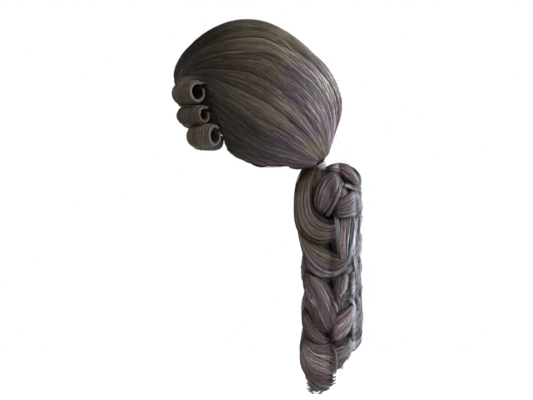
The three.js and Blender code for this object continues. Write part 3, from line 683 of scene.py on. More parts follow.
def make_roll(side, name, spec, seed):
    back, front, r0 = spec
    fr = roll_frame(back, front)
    rng = np.random.default_rng(seed)
    b = Build()
    A = np.linspace(118, -217, 84)
    S = np.linspace(0.012, 0.988, 46)
    aa, ss = np.meshgrid(A, S)
    f = (118 - aa) / 335
    wall = 3.3 * (1 - 0.35 * f) * (1 - 0.55 * np.abs(2 * ss - 1) ** 6)
    outer, _ = roll_point(fr, r0, ss, aa, 0.75 + 0 * ss, seed)
    inner, _ = roll_point(fr, r0, ss, aa, wall, seed)
    base_level = {"upper": 3.6, "middle": 3.3, "lower": 3.9}[name]
    hue0 = {"upper": 0.02, "middle": 0.08, "lower": 0.15}[name]
    # the wall under the strands is painted darker as shade
    m = pick(np.full(ss.shape, base_level - 1.6), np.full(ss.shape, hue0), rng.random((*ss.shape, 2)))[:-1, :-1]
    b.slab(outer, inner, m)

    def layer(count, depth, rad, a_from, a_to, lev):
        n = int(count * (1))
        s0 = rng.uniform(0.0, 1.0, n)
        N = 40
        t = np.linspace(0, 1, N)[None, :]
        lo = a_from + rng.uniform(-4, 8, n)
        hi = a_to + rng.uniform(-22, 14, n)
        a = lo[:, None] * (1 - t) + hi[:, None] * t
        s = s0[:, None] + 0.012 * vnoise(s0[:, None] * 40, a / 50.0, seed + 9) + rng.normal(0, 0.008, n)[:, None] * np.sin(np.pi * t)
        s = np.clip(s, 0.002, 0.998)
        d = depth[0] + (depth[1] - depth[0]) * rng.random(n)
        rim = np.abs(2 * s - 1) ** 10
        pos, nrm = roll_point(fr, r0, s, a, d[:, None] + 0.9 * rim, seed)
        x = s * 7 + 0.7 * vnoise(s * 3, a / 60.0, seed)
        clump = hash2(np.floor(x), np.floor(x) * 0, seed)
        x3 = np.floor(s * 19)
        groove = x - np.floor(x)
        L = lev + 1.2 * (clump - 0.5) + 1.0 * (hash2(x3, x3 * 0, seed + 3) - 0.5) + rng.normal(0, 0.7, n)[:, None]
        # painted shade in the grooves between clumps; painted highlight, lighter and more mauve, on the cut-open rim
        # and where the barrel faces up and out
        L = L - 2.0 * np.exp(-(np.minimum(groove, 1 - groove) / 0.13) ** 2)
        L = L + 1.2 * np.exp(-((s - 0.02) / 0.045) ** 2) + 0.3 * np.exp(-((s - 0.98) / 0.05) ** 2)
        L = L + 0.7 * np.exp(-((a - 60) / 38.0) ** 2)
        H = hue0 + 0.45 * np.exp(-((s - 0.02) / 0.06) ** 2) + rng.normal(0, 0.2, n)[:, None]
        mat = pick(L, H, np.repeat(rng.random((n, 1, 2)), N, 1))
        rr = (rad[0] + (rad[1] - rad[0]) * rng.random(n))[:, None] * (0.3 + 0.7 * smooth(t / 0.05)) * (0.25 + 0.75 * smooth((1 - t) / 0.06))
        b.strands(pos, rr, nrm if depth[0] < 2 else -nrm, mat)

    layer(190, (0.35, 0.75), (0.34, 0.5), 138, -205, base_level)
    layer(150, (0.0, 0.4), (0.24, 0.36), 140, -190, base_level + 0.3)
    # the inner layer, inside the roll, is painted darker as shade
    layer(120, (3.0, 3.3), (0.3, 0.45), 100, -210, base_level - 0.9)
    # the rim: strands lying right on the cut-open end of the barrel, both ends, painted lighter and more mauve as a
    # highlight
    for s_end, k in ((0.0, 26), (1.0, 20)):
        N = 40
        t = np.linspace(0, 1, N)[None, :]
        a = 120 - 325 * t + rng.uniform(-5, 5, k)[:, None]
        depth = rng.uniform(0.3, 3.0, k)[:, None] * (1 - 0.3 * t)
        s = s_end + (1 if s_end == 0 else -1) * (rng.uniform(-0.006, 0.012, k))[:, None] + 0 * t
        pos, nrm = roll_point(fr, r0, s, a, depth + 0.6, seed)
        L = base_level + (1.2 if s_end == 0 else 0.5) + rng.normal(0, 0.5, k)[:, None] + 0 * t
        mat = pick(L, 0.4 + rng.normal(0, 0.2, k)[:, None] + 0 * t, np.repeat(rng.random((k, 1, 2)), N, 1))
        b.strands(pos, np.full(pos.shape[:2], 0.4), nrm, mat, flat=1.0)
    mirror(b, -1 if side == "right" else 1)
    return done(b.object(f"roll_hair_{side}_{name}", PALETTE), f"roll_{side}_{name}", "hair_taupe", f"roll_{side}_{name}")


for j, (name, spec) in enumerate(ROLLS.items()):
    make_roll("left", name, spec, 300 + j)
    make_roll("right", name, spec, 320 + j)


# Temple hair: the short growth between the swept-back hair and the rolls, painted dark as the shade there
def temple(side, seed):
    rng = np.random.default_rng(seed)
    sg = 1 if side == "left" else -1
    b = Build()
    top, bottom = np.array([60.0, -88, 26]), np.array([74.0, -38, -66])
    rows, cols = 40, 16

    def sheet(v, w, off):
        """v 0..1 down the hairline, w 0 at the dome's edge to 1 at the front."""
        w = w * (0.25 + 0.75 * smooth(v / 0.3))
        v = 0.12 + 0.88 * v
        phi = 62 + 48 * v ** 1.15
        theta = 140 - 34 * v
        base = on_hair(phi, theta, -2.5 + 0 * v)
        front_y = np.interp(v, [0, 0.25, 0.5, 0.75, 1], [-97, -92, -88, -74, -56])
        front_x = np.interp(v, [0, 0.25, 0.5, 0.75, 1], [52, 56, 58, 63, 68])
        tip = np.stack([front_x, front_y, base[..., 2]], -1)
        p = base * (1 - w[..., None]) + tip * w[..., None]
        n = unit(np.stack([0.85 + 0 * v, -0.5 + 0 * v, 0 * v], -1))
        return p + n * (off - 3.0 * w)[..., None], n

    v, w = np.meshgrid(np.linspace(0, 1, rows), np.linspace(0, 1, cols), indexing="ij")
    o, _ = sheet(v, w, 0 * v)
    i_, _ = sheet(v, w, 0 * v - 1.6)
    # the sheet is painted near-black as shade behind the rolls
    b.slab(o, i_, 1)
    n = int(340 * (1))
    N = 12
    t = np.linspace(0, 1, N)[None, :]
    v0 = rng.random(n)[:, None]
    w0 = rng.uniform(0.15, 1.0, n)[:, None]
    vv = np.clip(v0 + 0.10 * t * rng.uniform(-0.4, 1.0, n)[:, None], 0, 1)
    ww = np.clip(w0 * (1 - t) - 0.1 * t, 0, 1)
    off = rng.uniform(0.1, 1.1, n)[:, None] + 1.2 * np.sin(np.pi * t) * rng.random(n)[:, None]
    pos, nrm = sheet(vv, ww, off)
    # painted shade: the strands are dark, darkest at the top of the hairline
    L = 1.6 + 1.1 * v0 + rng.normal(0, 0.7, n)[:, None] + 0 * t
    mat = pick(L, 0.1 + rng.normal(0, 0.2, n)[:, None] + 0 * t, np.repeat(rng.random((n, 1, 2)), N, 1))
    rr = rng.uniform(0.28, 0.42, n)[:, None] * (0.3 + 0.7 * smooth((1 - t) / 0.2)) + 0 * t
    b.strands(pos, rr, nrm, mat)
    mirror(b, sg)
    return done(b.object(f"temple_hair_{side}", PALETTE), "cap", "hair_taupe")


temple("left", 71)
temple("right", 72)


# ---------------------------------------------------------------------------
# The cap inside: net, tapes, wefts and adjusters
# ---------------------------------------------------------------------------
def cloth_material(name, color, scale, rough, fleck, spec=0.25, metal=0.0, bump=0.35, stretch=(1, 1, 1)):
    """Colour, roughness and bump all vary: broad shading plus a fine yarn grain."""
    m, b = principled(name, color, rough, spec, metal)
    t = m.node_tree
    co = t.nodes.new("ShaderNodeTexCoord")
    mp = t.nodes.new("ShaderNodeMapping")
    mp.inputs["Scale"].default_value = stretch
    fine = t.nodes.new("ShaderNodeTexNoise")
    fine.inputs["Scale"].default_value = scale
    fine.inputs["Detail"].default_value = 4.0
    broad = t.nodes.new("ShaderNodeTexNoise")
    broad.inputs["Scale"].default_value = 22.0
    mix = t.nodes.new("ShaderNodeMix")
    mix.data_type = "RGBA"
    mix.inputs["A"].default_value = (*[c * (1 - fleck) for c in color], 1)
    mix.inputs["B"].default_value = (*[min(1, c * (1 + fleck) + 0.01) for c in color], 1)
    add = t.nodes.new("ShaderNodeMath")
    add.operation = "MULTIPLY_ADD"
    add.inputs[1].default_value = 0.5
    r = t.nodes.new("ShaderNodeMapRange")
    r.inputs["To Min"].default_value = max(0.05, rough - 0.12)
    r.inputs["To Max"].default_value = min(1.0, rough + 0.12)
    bp = t.nodes.new("ShaderNodeBump")
    bp.inputs["Strength"].default_value = bump
    bp.inputs["Distance"].default_value = 0.0003
    t.links.new(co.outputs["Object"], mp.inputs["Vector"])
    t.links.new(mp.outputs["Vector"], fine.inputs["Vector"])
    t.links.new(co.outputs["Object"], broad.inputs["Vector"])
    t.links.new(fine.outputs["Fac"], add.inputs[0])
    t.links.new(broad.outputs["Fac"], add.inputs[2])
    t.links.new(add.outputs[0], mix.inputs["Factor"])
    t.links.new(mix.outputs["Result"], b.inputs["Base Color"])
    t.links.new(fine.outputs["Fac"], r.inputs["Value"])
    t.links.new(r.outputs["Result"], b.inputs["Roughness"])
    t.links.new(fine.outputs["Fac"], bp.inputs["Height"])
    t.links.new(bp.outputs["Normal"], b.inputs["Normal"])
    return m


LACE = cloth_material("cap_lace_yarn", (0.050, 0.042, 0.038), 900, 0.8, 0.35)
TAPE = cloth_material("cap_woven_tape", (0.030, 0.027, 0.026), 1500, 0.85, 0.4, stretch=(1, 1, 0.35))
THREAD = cloth_material("sewing_thread", (0.060, 0.048, 0.042), 2200, 0.6, 0.3, 0.4)
ELASTIC = cloth_material("ribbed_elastic", (0.018, 0.018, 0.020), 1300, 0.7, 0.4)
STEEL = cloth_material("brushed_steel", (0.52, 0.53, 0.55), 600, 0.34, 0.12, 0.5, 1.0, 0.12, (1, 1, 0.05))
PLASTIC = cloth_material("moulded_plastic", (0.022, 0.022, 0.025), 350, 0.42, 0.25, 0.5, 0.0, 0.10)


def edge_phi(theta):
    return np.interp(theta, EDGE_TH, EDGE_PH)


def to_angles(e):
    theta = np.degrees(np.arccos(np.clip(-(e @ FORE), -1, 1)))
    return np.degrees(np.arctan2(e @ LEFT, e @ TOP)), theta


def tape_at(path, n, width):
    """Returns f(side -1..1, offset) giving points along a tape laid on the dome, and the directions."""
    path = np.array(path, float)
    d = direction(path[:, 0], path[:, 1])
    seg = np.concatenate([[0], np.cumsum(np.linalg.norm(np.diff(d, axis=0), axis=1))])
    u = np.linspace(0, seg[-1], n)
    d = unit(np.stack([np.interp(u, seg, d[:, k]) for k in range(3)], -1))
    for _ in range(3):
        d[1:-1] = unit(d[1:-1] * 2 + d[:-2] + d[2:])
    along = unit(np.gradient(d, axis=0))
    across = np.cross(d, along)
    r0 = hair_radius(*to_angles(d))

    def f(side, off):
        e = unit(d + across * (side * width / 2 / r0)[:, None])
        return POLE + e * (hair_radius(*to_angles(e)) + off)[:, None]

    return f, d, r0, u * 110


def stitches(b, line, normal, every, length, radius, mat):
    """A row of separate stitches along a line of points."""
    seg = np.concatenate([[0], np.cumsum(np.linalg.norm(np.diff(line, axis=0), axis=1))])
    n = int(seg[-1] / every)
    if n < 1:
        return
    s0 = (np.arange(n) + 0.2) * every
    k = np.linspace(0, 1, 5)
    ss = s0[:, None] + length * k[None, :]
    pos = np.stack([np.interp(ss, seg, line[:, i]) for i in range(3)], -1)
    nrm = np.stack([np.interp(ss, seg, normal[:, i]) for i in range(3)], -1)
    pos = pos + unit(nrm) * (radius * 0.9 - 1.6 * radius * (2 * k - 1) ** 4)[None, :, None]
    b.strands(pos, np.full(ss.shape, radius), unit(nrm), np.full(ss.shape, mat), sides=4, flat=1.0)


def woven(name, node, path, width, top, under, mats, slot, rib=1.6, binding=True, rows=None, body="cap", blend=None):
    f, d, r0, u = tape_at(path, 10, width)
    n = int(max(24, u[-1] / rib * 4)) if rows is None else rows
    n = min(n, 420)
    f, d, r0, u = tape_at(path, n, width)
    cols = np.linspace(-1, 1, 15)
    rib_h = 0.14 * np.cos(2 * np.pi * u / rib)
    outer, inner = [], []
    for c in cols:
        edge = abs(c) ** 8
        h = rib_h * (1 - edge) + (0.22 * np.exp(-((abs(c) - 0.90) / 0.07) ** 2) if binding else 0)
        cockle = 0.18 * np.sin(u / 7.0 + 2 * c) * abs(c)
        side = c + 0.025 * np.sin(u / 3.1 + c) * (abs(c) > 0.8)
        outer.append(f(side + 0 * u, top - 0.2 + h + cockle))
        inner.append(f(side + 0 * u, under + 0.2 - h + cockle))
    b = Build()
    b.slab(np.stack(outer, 1), np.stack(inner, 1), 0)
    for c in (-0.78, 0.78):
        for off, sgn in ((top + 0.02, 1), (under - 0.02, -1)):
            stitches(b, f(c + 0 * u, off + 0 * u), d * sgn, 3.0, 2.1, 0.20, 1)
    ob = b.object(name, mats)
    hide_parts(node)
    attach(ob, body)
    return ob


def both(stem, path, *rest, tail=""):
    woven(f"{stem}_left{tail}_cloth", f"{stem}_left{tail}", path, *rest)
    woven(f"{stem}_right{tail}_cloth", f"{stem}_right{tail}", [(-a, t) for a, t in path], *rest)


T2 = (TAPE, THREAD)
front = [(-(edge_phi(t) - 7), t) for t in (138, 144, 150, 156, 162, 168)] + [(p_, 171.5 - abs(p_) * 0.02) for p_ in (-40, -20, 0, 20, 40)] + [(edge_phi(t) - 7, t) for t in (168, 162, 156, 150, 144, 138)]
woven("front_band_cloth", "front_band", front, 10, -11.0, -11.9, T2, "cap_tape")
both("ear_tab", [(edge_phi(t) - 8, t) for t in (134, 128, 122, 116, 110, 104)], 13, -11.0, -11.9, (LACE, THREAD), "cap_lace", 2.2)
both("side_band", [(edge_phi(t) - 6, t) for t in np.linspace(100, 38, 9)], 10, -11.0, -11.9, T2, "cap_tape")
woven("cap_ribbon_centre_cloth", "cap_ribbon_centre", [(0, t) for t in np.linspace(163, 36, 13)], 12, -11.0, -11.7, T2, "cap_tape", 2.0)
both("cap_ribbon", [(34, t) for t in np.linspace(152, 36, 12)], 12, -11.0, -11.7, T2, "cap_tape", 2.0, tail="_inner")
both("cap_ribbon", [(66, t) for t in np.linspace(126, 40, 10)], 12, -11.0, -11.7, T2, "cap_tape", 2.0, tail="_outer")
nape_path = [(p_, np.interp(180 - abs(180 - p_), [118, 125, 137.5, 150, 162.5, 180], [35, 26, 21.5, 17.8, 16, 15.4]) + 0.8) for p_ in np.linspace(120, 240, 25)]
woven("nape_band_cloth", "nape_band", nape_path, 7.6, -7.6, -8.6, T2, "cap_tape")


def crown_net():
    b = Build()
    rows = 70
    for sign in (-1, 1):
        n = 74
        start = np.linspace(-1.75, 1.75, n)[:, None]
        v = np.linspace(0, 1, rows)[None, :]
        w = start + sign * (v - 0.5) * 1.5
        theta = 34 + 108 * v + 0 * w
        half = np.where(theta < 70, 92, np.minimum(98, edge_phi(theta) - 12))
        k = (np.arange(n)[:, None] + np.floor(v * 34)) % 2
        phi = w * half
        off = -13.5 - np.where(theta < 64, (64 - theta) * 0.32, 0) + sign * 0.22 * np.cos(np.pi * v * 34)
        inside = np.abs(w) <= 1
        pos = on_hair(np.clip(phi, -half, half), theta, off)
        nrm = direction(phi, theta)
        for i in range(n):
            run = np.where(inside[i])[0]
            if len(run) > 4:
                sl = slice(run[0], run[-1] + 1)
                b.strands(pos[i:i + 1, sl], np.full((1, len(run)), 0.22), nrm[i:i + 1, sl], np.zeros((1, len(run)), int), sides=4, flat=1.0)
    # binding cord round the net's edge
    th = np.linspace(34, 142, 120)
    half = np.where(th < 70, 92, np.minimum(98, edge_phi(th) - 12)).astype(float)
    deep = -13.5 - np.where(th < 64, (64 - th) * 0.32, 0)
    runs = [(s_ * half, th, deep) for s_ in (-1, 1)]
    for t_ in (34.0, 142.0):
        h = float(np.interp(t_, th, half))
        runs.append((np.linspace(-h, h, 120), np.full(120, t_), np.full(120, float(np.interp(t_, th, deep)))))
    for ph, tt, dd in runs:
        b.strands(on_hair(ph, tt, dd)[None], np.full((1, 120), 0.38), direction(ph, tt)[None], np.ones((1, 120), int), sides=4, flat=0.8)
    return done(b.object("crown_net_lace", (LACE, TAPE)), "cap", "cap_lace", "crown_net")


crown_net()


def weft_rows():
    for i, theta in enumerate([40, 54, 68, 82, 96, 110, 124, 138]):
        rng = np.random.default_rng(800 + i)
        b = Build()
        half = min(112.0, float(edge_phi(theta)) - 8)
        dt = 5 / 2 / 115 / np.pi * 180
        phi = np.linspace(-half, half, 260)[None, :]
        # the three machine threads, each a fine zigzag, over the folded hair
        for k, side in enumerate((-0.75, 0.0, 0.75)):
            zig = 0.18 * np.sin(np.arange(260) * np.pi / 2 + k)[None, :]
            th = theta + dt * (side + zig)
            off = -9.15 + 0.12 * np.cos(np.arange(260) * np.pi)[None, :]
            b.strands(on_hair(phi, th, off), np.full(phi.shape, 0.28), direction(phi, th), np.full(phi.shape, len(PALETTE)), sides=4, flat=1.0)
        # hair folded over the threads, then lying back under the dome
        n = int(210 * (1))
        p0 = np.linspace(-half, half, n) + rng.normal(0, 0.3, n)
        t = np.linspace(0, 1, 7)[None, :]
        th = theta + dt * 0.9 - t * (dt * 1.8 + rng.uniform(2, 6, n)[:, None] * np.clip((t - 0.4) / 0.6, 0, 1))
        ph = np.clip(p0[:, None] + rng.normal(0, 0.8, n)[:, None] * t, -half, half)
        off = -9.55 + 1.4 * np.clip((t - 0.5) / 0.5, 0, 1) ** 1.5 + rng.uniform(-0.15, 0.15, n)[:, None]
        pos = on_hair(ph, th, off)
        mat = np.repeat(np.clip(rng.normal(2.6, 0.8, n), 0, 5).astype(int)[:, None], 7, 1)
        b.strands(pos, np.repeat(rng.uniform(0.45, 0.8, n)[:, None], 7, 1), direction(ph, th), mat, flat=0.4)
        ob = b.object(f"weft_row_{i + 1}_hair", [*PALETTE, THREAD])
        done(ob, "cap", "weft_thread", f"weft_row_{i + 1}")


weft_rows()


def adjusters():
    o = on_hair(np.array(101.0), np.array(39.0), np.array(-14.2))
    along = unit(on_hair(np.array(101.0), np.array(32.0), np.array(-14.2)) - on_hair(np.array(101.0), np.array(46.0), np.array(-14.2)))
    d = direction(np.array(101.0), np.array(39.0))
    inward = unit(-d + along * (d @ along))
    across = unit(np.cross(inward, along))

    def P(x, y, z):
        x, y, z = np.broadcast_arrays(x, y, z)
        return o + along * x[..., None] + across * y[..., None] + inward * z[..., None]

    for side, sg in (("left", 1), ("right", -1)):
        b = Build()
        x = np.linspace(-9, 21, 100)[:, None]
        y = np.linspace(-6.5, 6.5, 15)[None, :]
        rib = 0.12 * np.cos(2 * np.pi * x / 1.2) * (1 - np.abs(y / 6.5) ** 8)
        lift = 0.14 * np.exp(-((np.abs(y) - 5.9) / 0.5) ** 2)
        b.slab(P(x, y, 0.62 + rib + lift), P(x, y, 0.12 - rib - lift), 0)
        for yy in (-5.6, 5.6):
            line = P(np.linspace(-8.5, 20.5, 60), np.full(60, yy), np.full(60, 0.8))
            stitches(b, line, np.repeat(inward[None], 60, 0), 2.6, 1.8, 0.18, 1)
        for xc in (-5, 2, 9, 16):
            a = np.linspace(0, np.pi, 26)
            yy = -5.0 * np.sign(np.cos(a)) * np.abs(np.cos(a)) ** 0.35
            zz = 0.7 + 3.0 * np.abs(np.sin(a)) ** 0.45
            xs = np.linspace(-1.3, 1.3, 7)
            ribs = 0.08 * np.cos(xs * 5)
            outer = P(xc + xs[None, :] + 0 * a[:, None], (yy * 1.06)[:, None] + 0 * xs[None, :], (zz + 0.25)[:, None] + ribs[None, :])
            inner = P(xc + xs[None, :] + 0 * a[:, None], (yy * 0.94)[:, None] + 0 * xs[None, :], (zz - 0.30)[:, None] - ribs[None, :])
            b.slab(outer, inner, 0)
            for e in (-1, 1):
                st = P(np.linspace(xc - 1.1, xc + 1.1, 8), np.full(8, e * 5.4), np.full(8, 0.95))
                stitches(b, st, np.repeat(inward[None], 8, 0), 1.1, 0.8, 0.2, 1)
        mirror(b, sg)
        done(b.object(f"loop_tape_{side}_cloth", (TAPE, THREAD)), "cap", "cap_tape", f"loop_tape_{side}")
        # elastic strap: ribbed, running to the hook's eye, with two stitch rows near each end
        b = Build()
        start = on_hair(np.array(103.0), np.array(74.0), np.array(-15.4))
        eye = P(np.array(-18.6), np.array(0.0), np.array(1.85))
        s_ = np.linspace(0, 1, 110)[:, None]
        c = start * (1 - s_) + eye * s_
        dd = unit(c - POLE)
        c = c + dd * 1.6 * np.sin(np.pi * s_)
        w = np.linspace(-1, 1, 17)
        ribs = 0.13 * np.cos(w * np.pi * 6)
        waist = 4 - 0.35 * np.sin(np.pi * s_)
        mid = c[:, None] + across * (waist[:, None] * w[None, :, None])
        h = (0.42 + ribs[None, :] + 0.05 * np.cos(s_ * 240))[..., None]
        b.slab(mid + dd[:, None] * h, mid - dd[:, None] * h, 0)
        for at_ in (0.06, 0.10, 0.86, 0.90):
            i = int(at_ * 109)
            line = c[i] + across * np.linspace(-3.4, 3.4, 30)[:, None] - dd[i] * 0.5
            stitches(b, line, np.repeat(-dd[i][None], 30, 0), 1.5, 1.1, 0.2, 1)
        mirror(b, sg)
        ob = b.object(f"adjuster_strap_{side}_elastic", (ELASTIC, THREAD))
        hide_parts(f"adjuster_strap_{side}")
        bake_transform(ob)
        for node, mat in ((f"adjuster_hook_{side}", PLASTIC), (f"ear_tab_stay_{side}", STEEL)):
            slots = bpy.data.objects[node].material_slots
            for slot in slots:
                slot.material = mat
    # the elastic under the wrap: two twisted cords
    b = Build()
    k = np.linspace(0, 360, 121)
    for ph in (0, 180):
        tw = np.radians(k * 14 + ph)
        pos = TIE + tie_radial(k) * (6.9 + 0.42 * np.cos(tw))[:, None] + TIE_AXIS * (0.42 * np.sin(tw))[:, None]
        b.strands(pos[None], np.full((1, 121), 0.45), tie_radial(k)[None], np.zeros((1, 121), int), sides=4, flat=1.0)
    done(b.object("tie_elastic_cord", (ELASTIC,)), "cap", "elastic", "tie_elastic")


adjusters()


# ---------------------------------------------------------------------------
# Tie wrap
# ---------------------------------------------------------------------------
def tie_wrap():
    rng = np.random.default_rng(41)
    b = Build()
    K = 40
    k = np.arange(K) / K * 2 * np.pi
    prof = [(-5.0, 7.6), (-4.9, 8.6), (-3.0, 9.2), (0, 9.35), (3.2, 9.2), (5.6, 8.7), (5.9, 7.8)]
    outer = np.array([TIE + TIE_AXIS * s + tie_radial(np.degrees(k)) * (r - 0.5) for s, r in prof])
    inner = np.array([TIE + TIE_AXIS * s + tie_radial(np.degrees(k)) * 7.4 for s, r in prof])
    outer = np.concatenate([outer, outer[:, :1]], 1)
    inner = np.concatenate([inner, inner[:, :1]], 1)
    b.slab(outer, inner, LEVELS + 3)
    n = int(240 * (1))
    N = 34
    t = np.linspace(0, 1, N)[None, :]
    s0 = rng.uniform(-4.8, 5.7, n)
    turn = rng.uniform(250, 420, n)
    ph = rng.uniform(0, 360, n)[:, None] + turn[:, None] * t
    s = s0[:, None] + 1.4 * (t - 0.5) * 1.2
    x = (s + 6) / 3.1 + 0.3 * np.sin(np.radians(ph))
    c = x - np.floor(x)
    r = 8.6 + 0.75 * (1 - np.abs(2 * c - 1) ** 2) + 0.25 * (1 - (s / 6.2) ** 2) + rng.uniform(-0.2, 0.35, n)[:, None]
    r = r - 0.9 * np.abs(s / 6.0) ** 6
    pos = TIE + TIE_AXIS * s[..., None] + tie_radial(ph) * r[..., None]
    L = 8.4 + rng.normal(0, 0.7, n)[:, None] + 0.5 * np.sin(np.radians(ph) * 2 + 1.0)
    mat = pick(L, 1.15 + rng.normal(0, 0.25, n)[:, None] + 0 * t, np.repeat(rng.random((n, 1, 2)), N, 1))
    b.strands(pos, np.repeat(rng.uniform(0.28, 0.42, n)[:, None], N, 1), tie_radial(ph), mat)
    return done(b.object("tie_wrap_hair", PALETTE), "cap", "hair_mauve", "tie_wrap")


tie_wrap()


# ---------------------------------------------------------------------------
# Ringlets
# ---------------------------------------------------------------------------
def curve_points(keys, n):
    """Catmull-Rom through keys, resampled evenly: points (n,3) and the arc length."""
    p = np.array(keys, float)
    p = np.concatenate([[2 * p[0] - p[1]], p, [2 * p[-1] - p[-2]]])
    out = []
    for i in range(1, len(p) - 2):
        t = np.linspace(0, 1, 24, endpoint=False)[:, None]
        a, b_, c, d = p[i - 1], p[i], p[i + 1], p[i + 2]
        out.append(0.5 * ((2 * b_) + (-a + c) * t + (2 * a - 5 * b_ + 4 * c - d) * t ** 2 + (-a + 3 * b_ - 3 * c + d) * t ** 3))
    out = np.concatenate(out + [p[-2:-1]])
    d = np.concatenate([[0], np.cumsum(np.linalg.norm(np.diff(out, axis=0), axis=1))])
    s = np.linspace(0, d[-1], n)
    return np.stack([np.interp(s, d, out[:, k]) for k in range(3)], -1), s


class Ringlet:
    """A lock wound round an axis: one band that goes round and down, each turn over the one below."""

    def __init__(self, keys, radii, pitches, hand, start_angle, seed, squash=1.0):
        self.P, self.s = curve_points(keys, 500)
        self.length = self.s[-1]
        T = unit(np.gradient(self.P, axis=0))
        U = LEFT - (T @ LEFT)[:, None] * T
        self.T, self.U = T, unit(U)
        self.V = np.cross(T, self.U)
        rs = np.linspace(0, self.length, len(radii))
        self.r = np.interp(self.s, rs, radii)
        k = np.ones(41) / 41
        self.r = np.convolve(np.pad(self.r, 20, mode="edge"), k, "valid")
        ps = np.linspace(0, self.length, len(pitches))
        self.pitch = np.interp(self.s, ps, pitches)
        # turns wound by arc length s
        self.turn = np.concatenate([[0], np.cumsum(np.diff(self.s) / (0.5 * (self.pitch[1:] + self.pitch[:-1])))])
        self.turns = self.turn[-1]
        self.hand, self.a0, self.seed, self.squash = hand, start_angle, seed, squash

    def at(self, lam, t, over=1.22):
        """Point and outward normal at lam turns along the band, t 0..1 across it from its upper to its lower edge."""
        sc = np.interp(lam, self.turn, self.s)
        pitch = np.interp(sc, self.s, self.pitch)
        wob = 0.10 * vnoise(lam * 1.7, lam * 0 + 3.3, self.seed)
        s = sc + (t - 0.5 + wob) * pitch * over
        s = np.clip(s, 0, self.length)
        lamr = lam
        ang = self.a0 + self.hand * 2 * np.pi * lamr
        grow = 1 + 0.07 * vnoise(lam * 2.3, lam * 0 + 7.7, self.seed + 1)
        prof = 0.60 + 0.40 * np.sin(np.pi * np.clip(t, 0, 1) ** 0.82) ** 0.60
        x1 = t * 6 + 0.8 * vnoise(lam * 1.3, t * 3, self.seed + 2)
        c1 = x1 - np.floor(x1)
        ridge = 0.9 * (1 - np.abs(2 * c1 - 1) ** 2) - 0.5
        # each lock comes out from under the one before it
        f = lam * 1.3 + 0.16 * vnoise(t * 5, np.floor(lam), self.seed + 6)
        f = f - np.floor(f)
        size = np.clip(np.interp(s, self.s, self.r) / 12, 0.3, 1.2)
        ridge = ridge - 3.2 * np.exp(-(f / 0.09) ** 2) - 1.8 * np.exp(-((1 - f) / 0.05) ** 2) + 0.8
        r = np.interp(s, self.s, self.r) * prof * grow + ridge * size
        P = np.stack([np.interp(s, self.s, self.P[:, k]) for k in range(3)], -1)
        U = unit(np.stack([np.interp(s, self.s, self.U[:, k]) for k in range(3)], -1))
        V = unit(np.stack([np.interp(s, self.s, self.V[:, k]) for k in range(3)], -1))
        ca, sa = np.cos(ang)[..., None], np.sin(ang)[..., None]
        n = U * ca + V * sa * self.squash
        return P, n, r, s

    def point(self, lam, t, off):
        P, n, r, s = self.at(lam, t)
        return P + n * (r + off)[..., None], n


def tail_tone(pos, nrm):
    y, z = pos[..., 1], pos[..., 2]
    # lighter toward the back, a painted light where the back light falls; lighter toward the bottom and darker high up
    # at the front
    level = 4.10 + 0.6 * smooth((-z - 215) / 60.0) + 0.75 * smooth((y - 92) / 45.0)
    level = level - 0.4 * smooth((z + 170) / 30.0) * smooth((100 - y) / 30.0)
    hue = 0.30 + 0.42 * smooth((y - 84) / 45.0) + 0.30 * smooth((-z - 190) / 90.0)
    # painted rim highlight: strands that face the back light are lighter and icier
    turn = smooth((nrm[..., 1] - 0.55) / 0.45)
    level = level + 0.9 * turn * smooth((y - 88) / 25.0)
    hue = hue + 0.45 * turn * smooth((y - 88) / 25.0)
    return level, hue


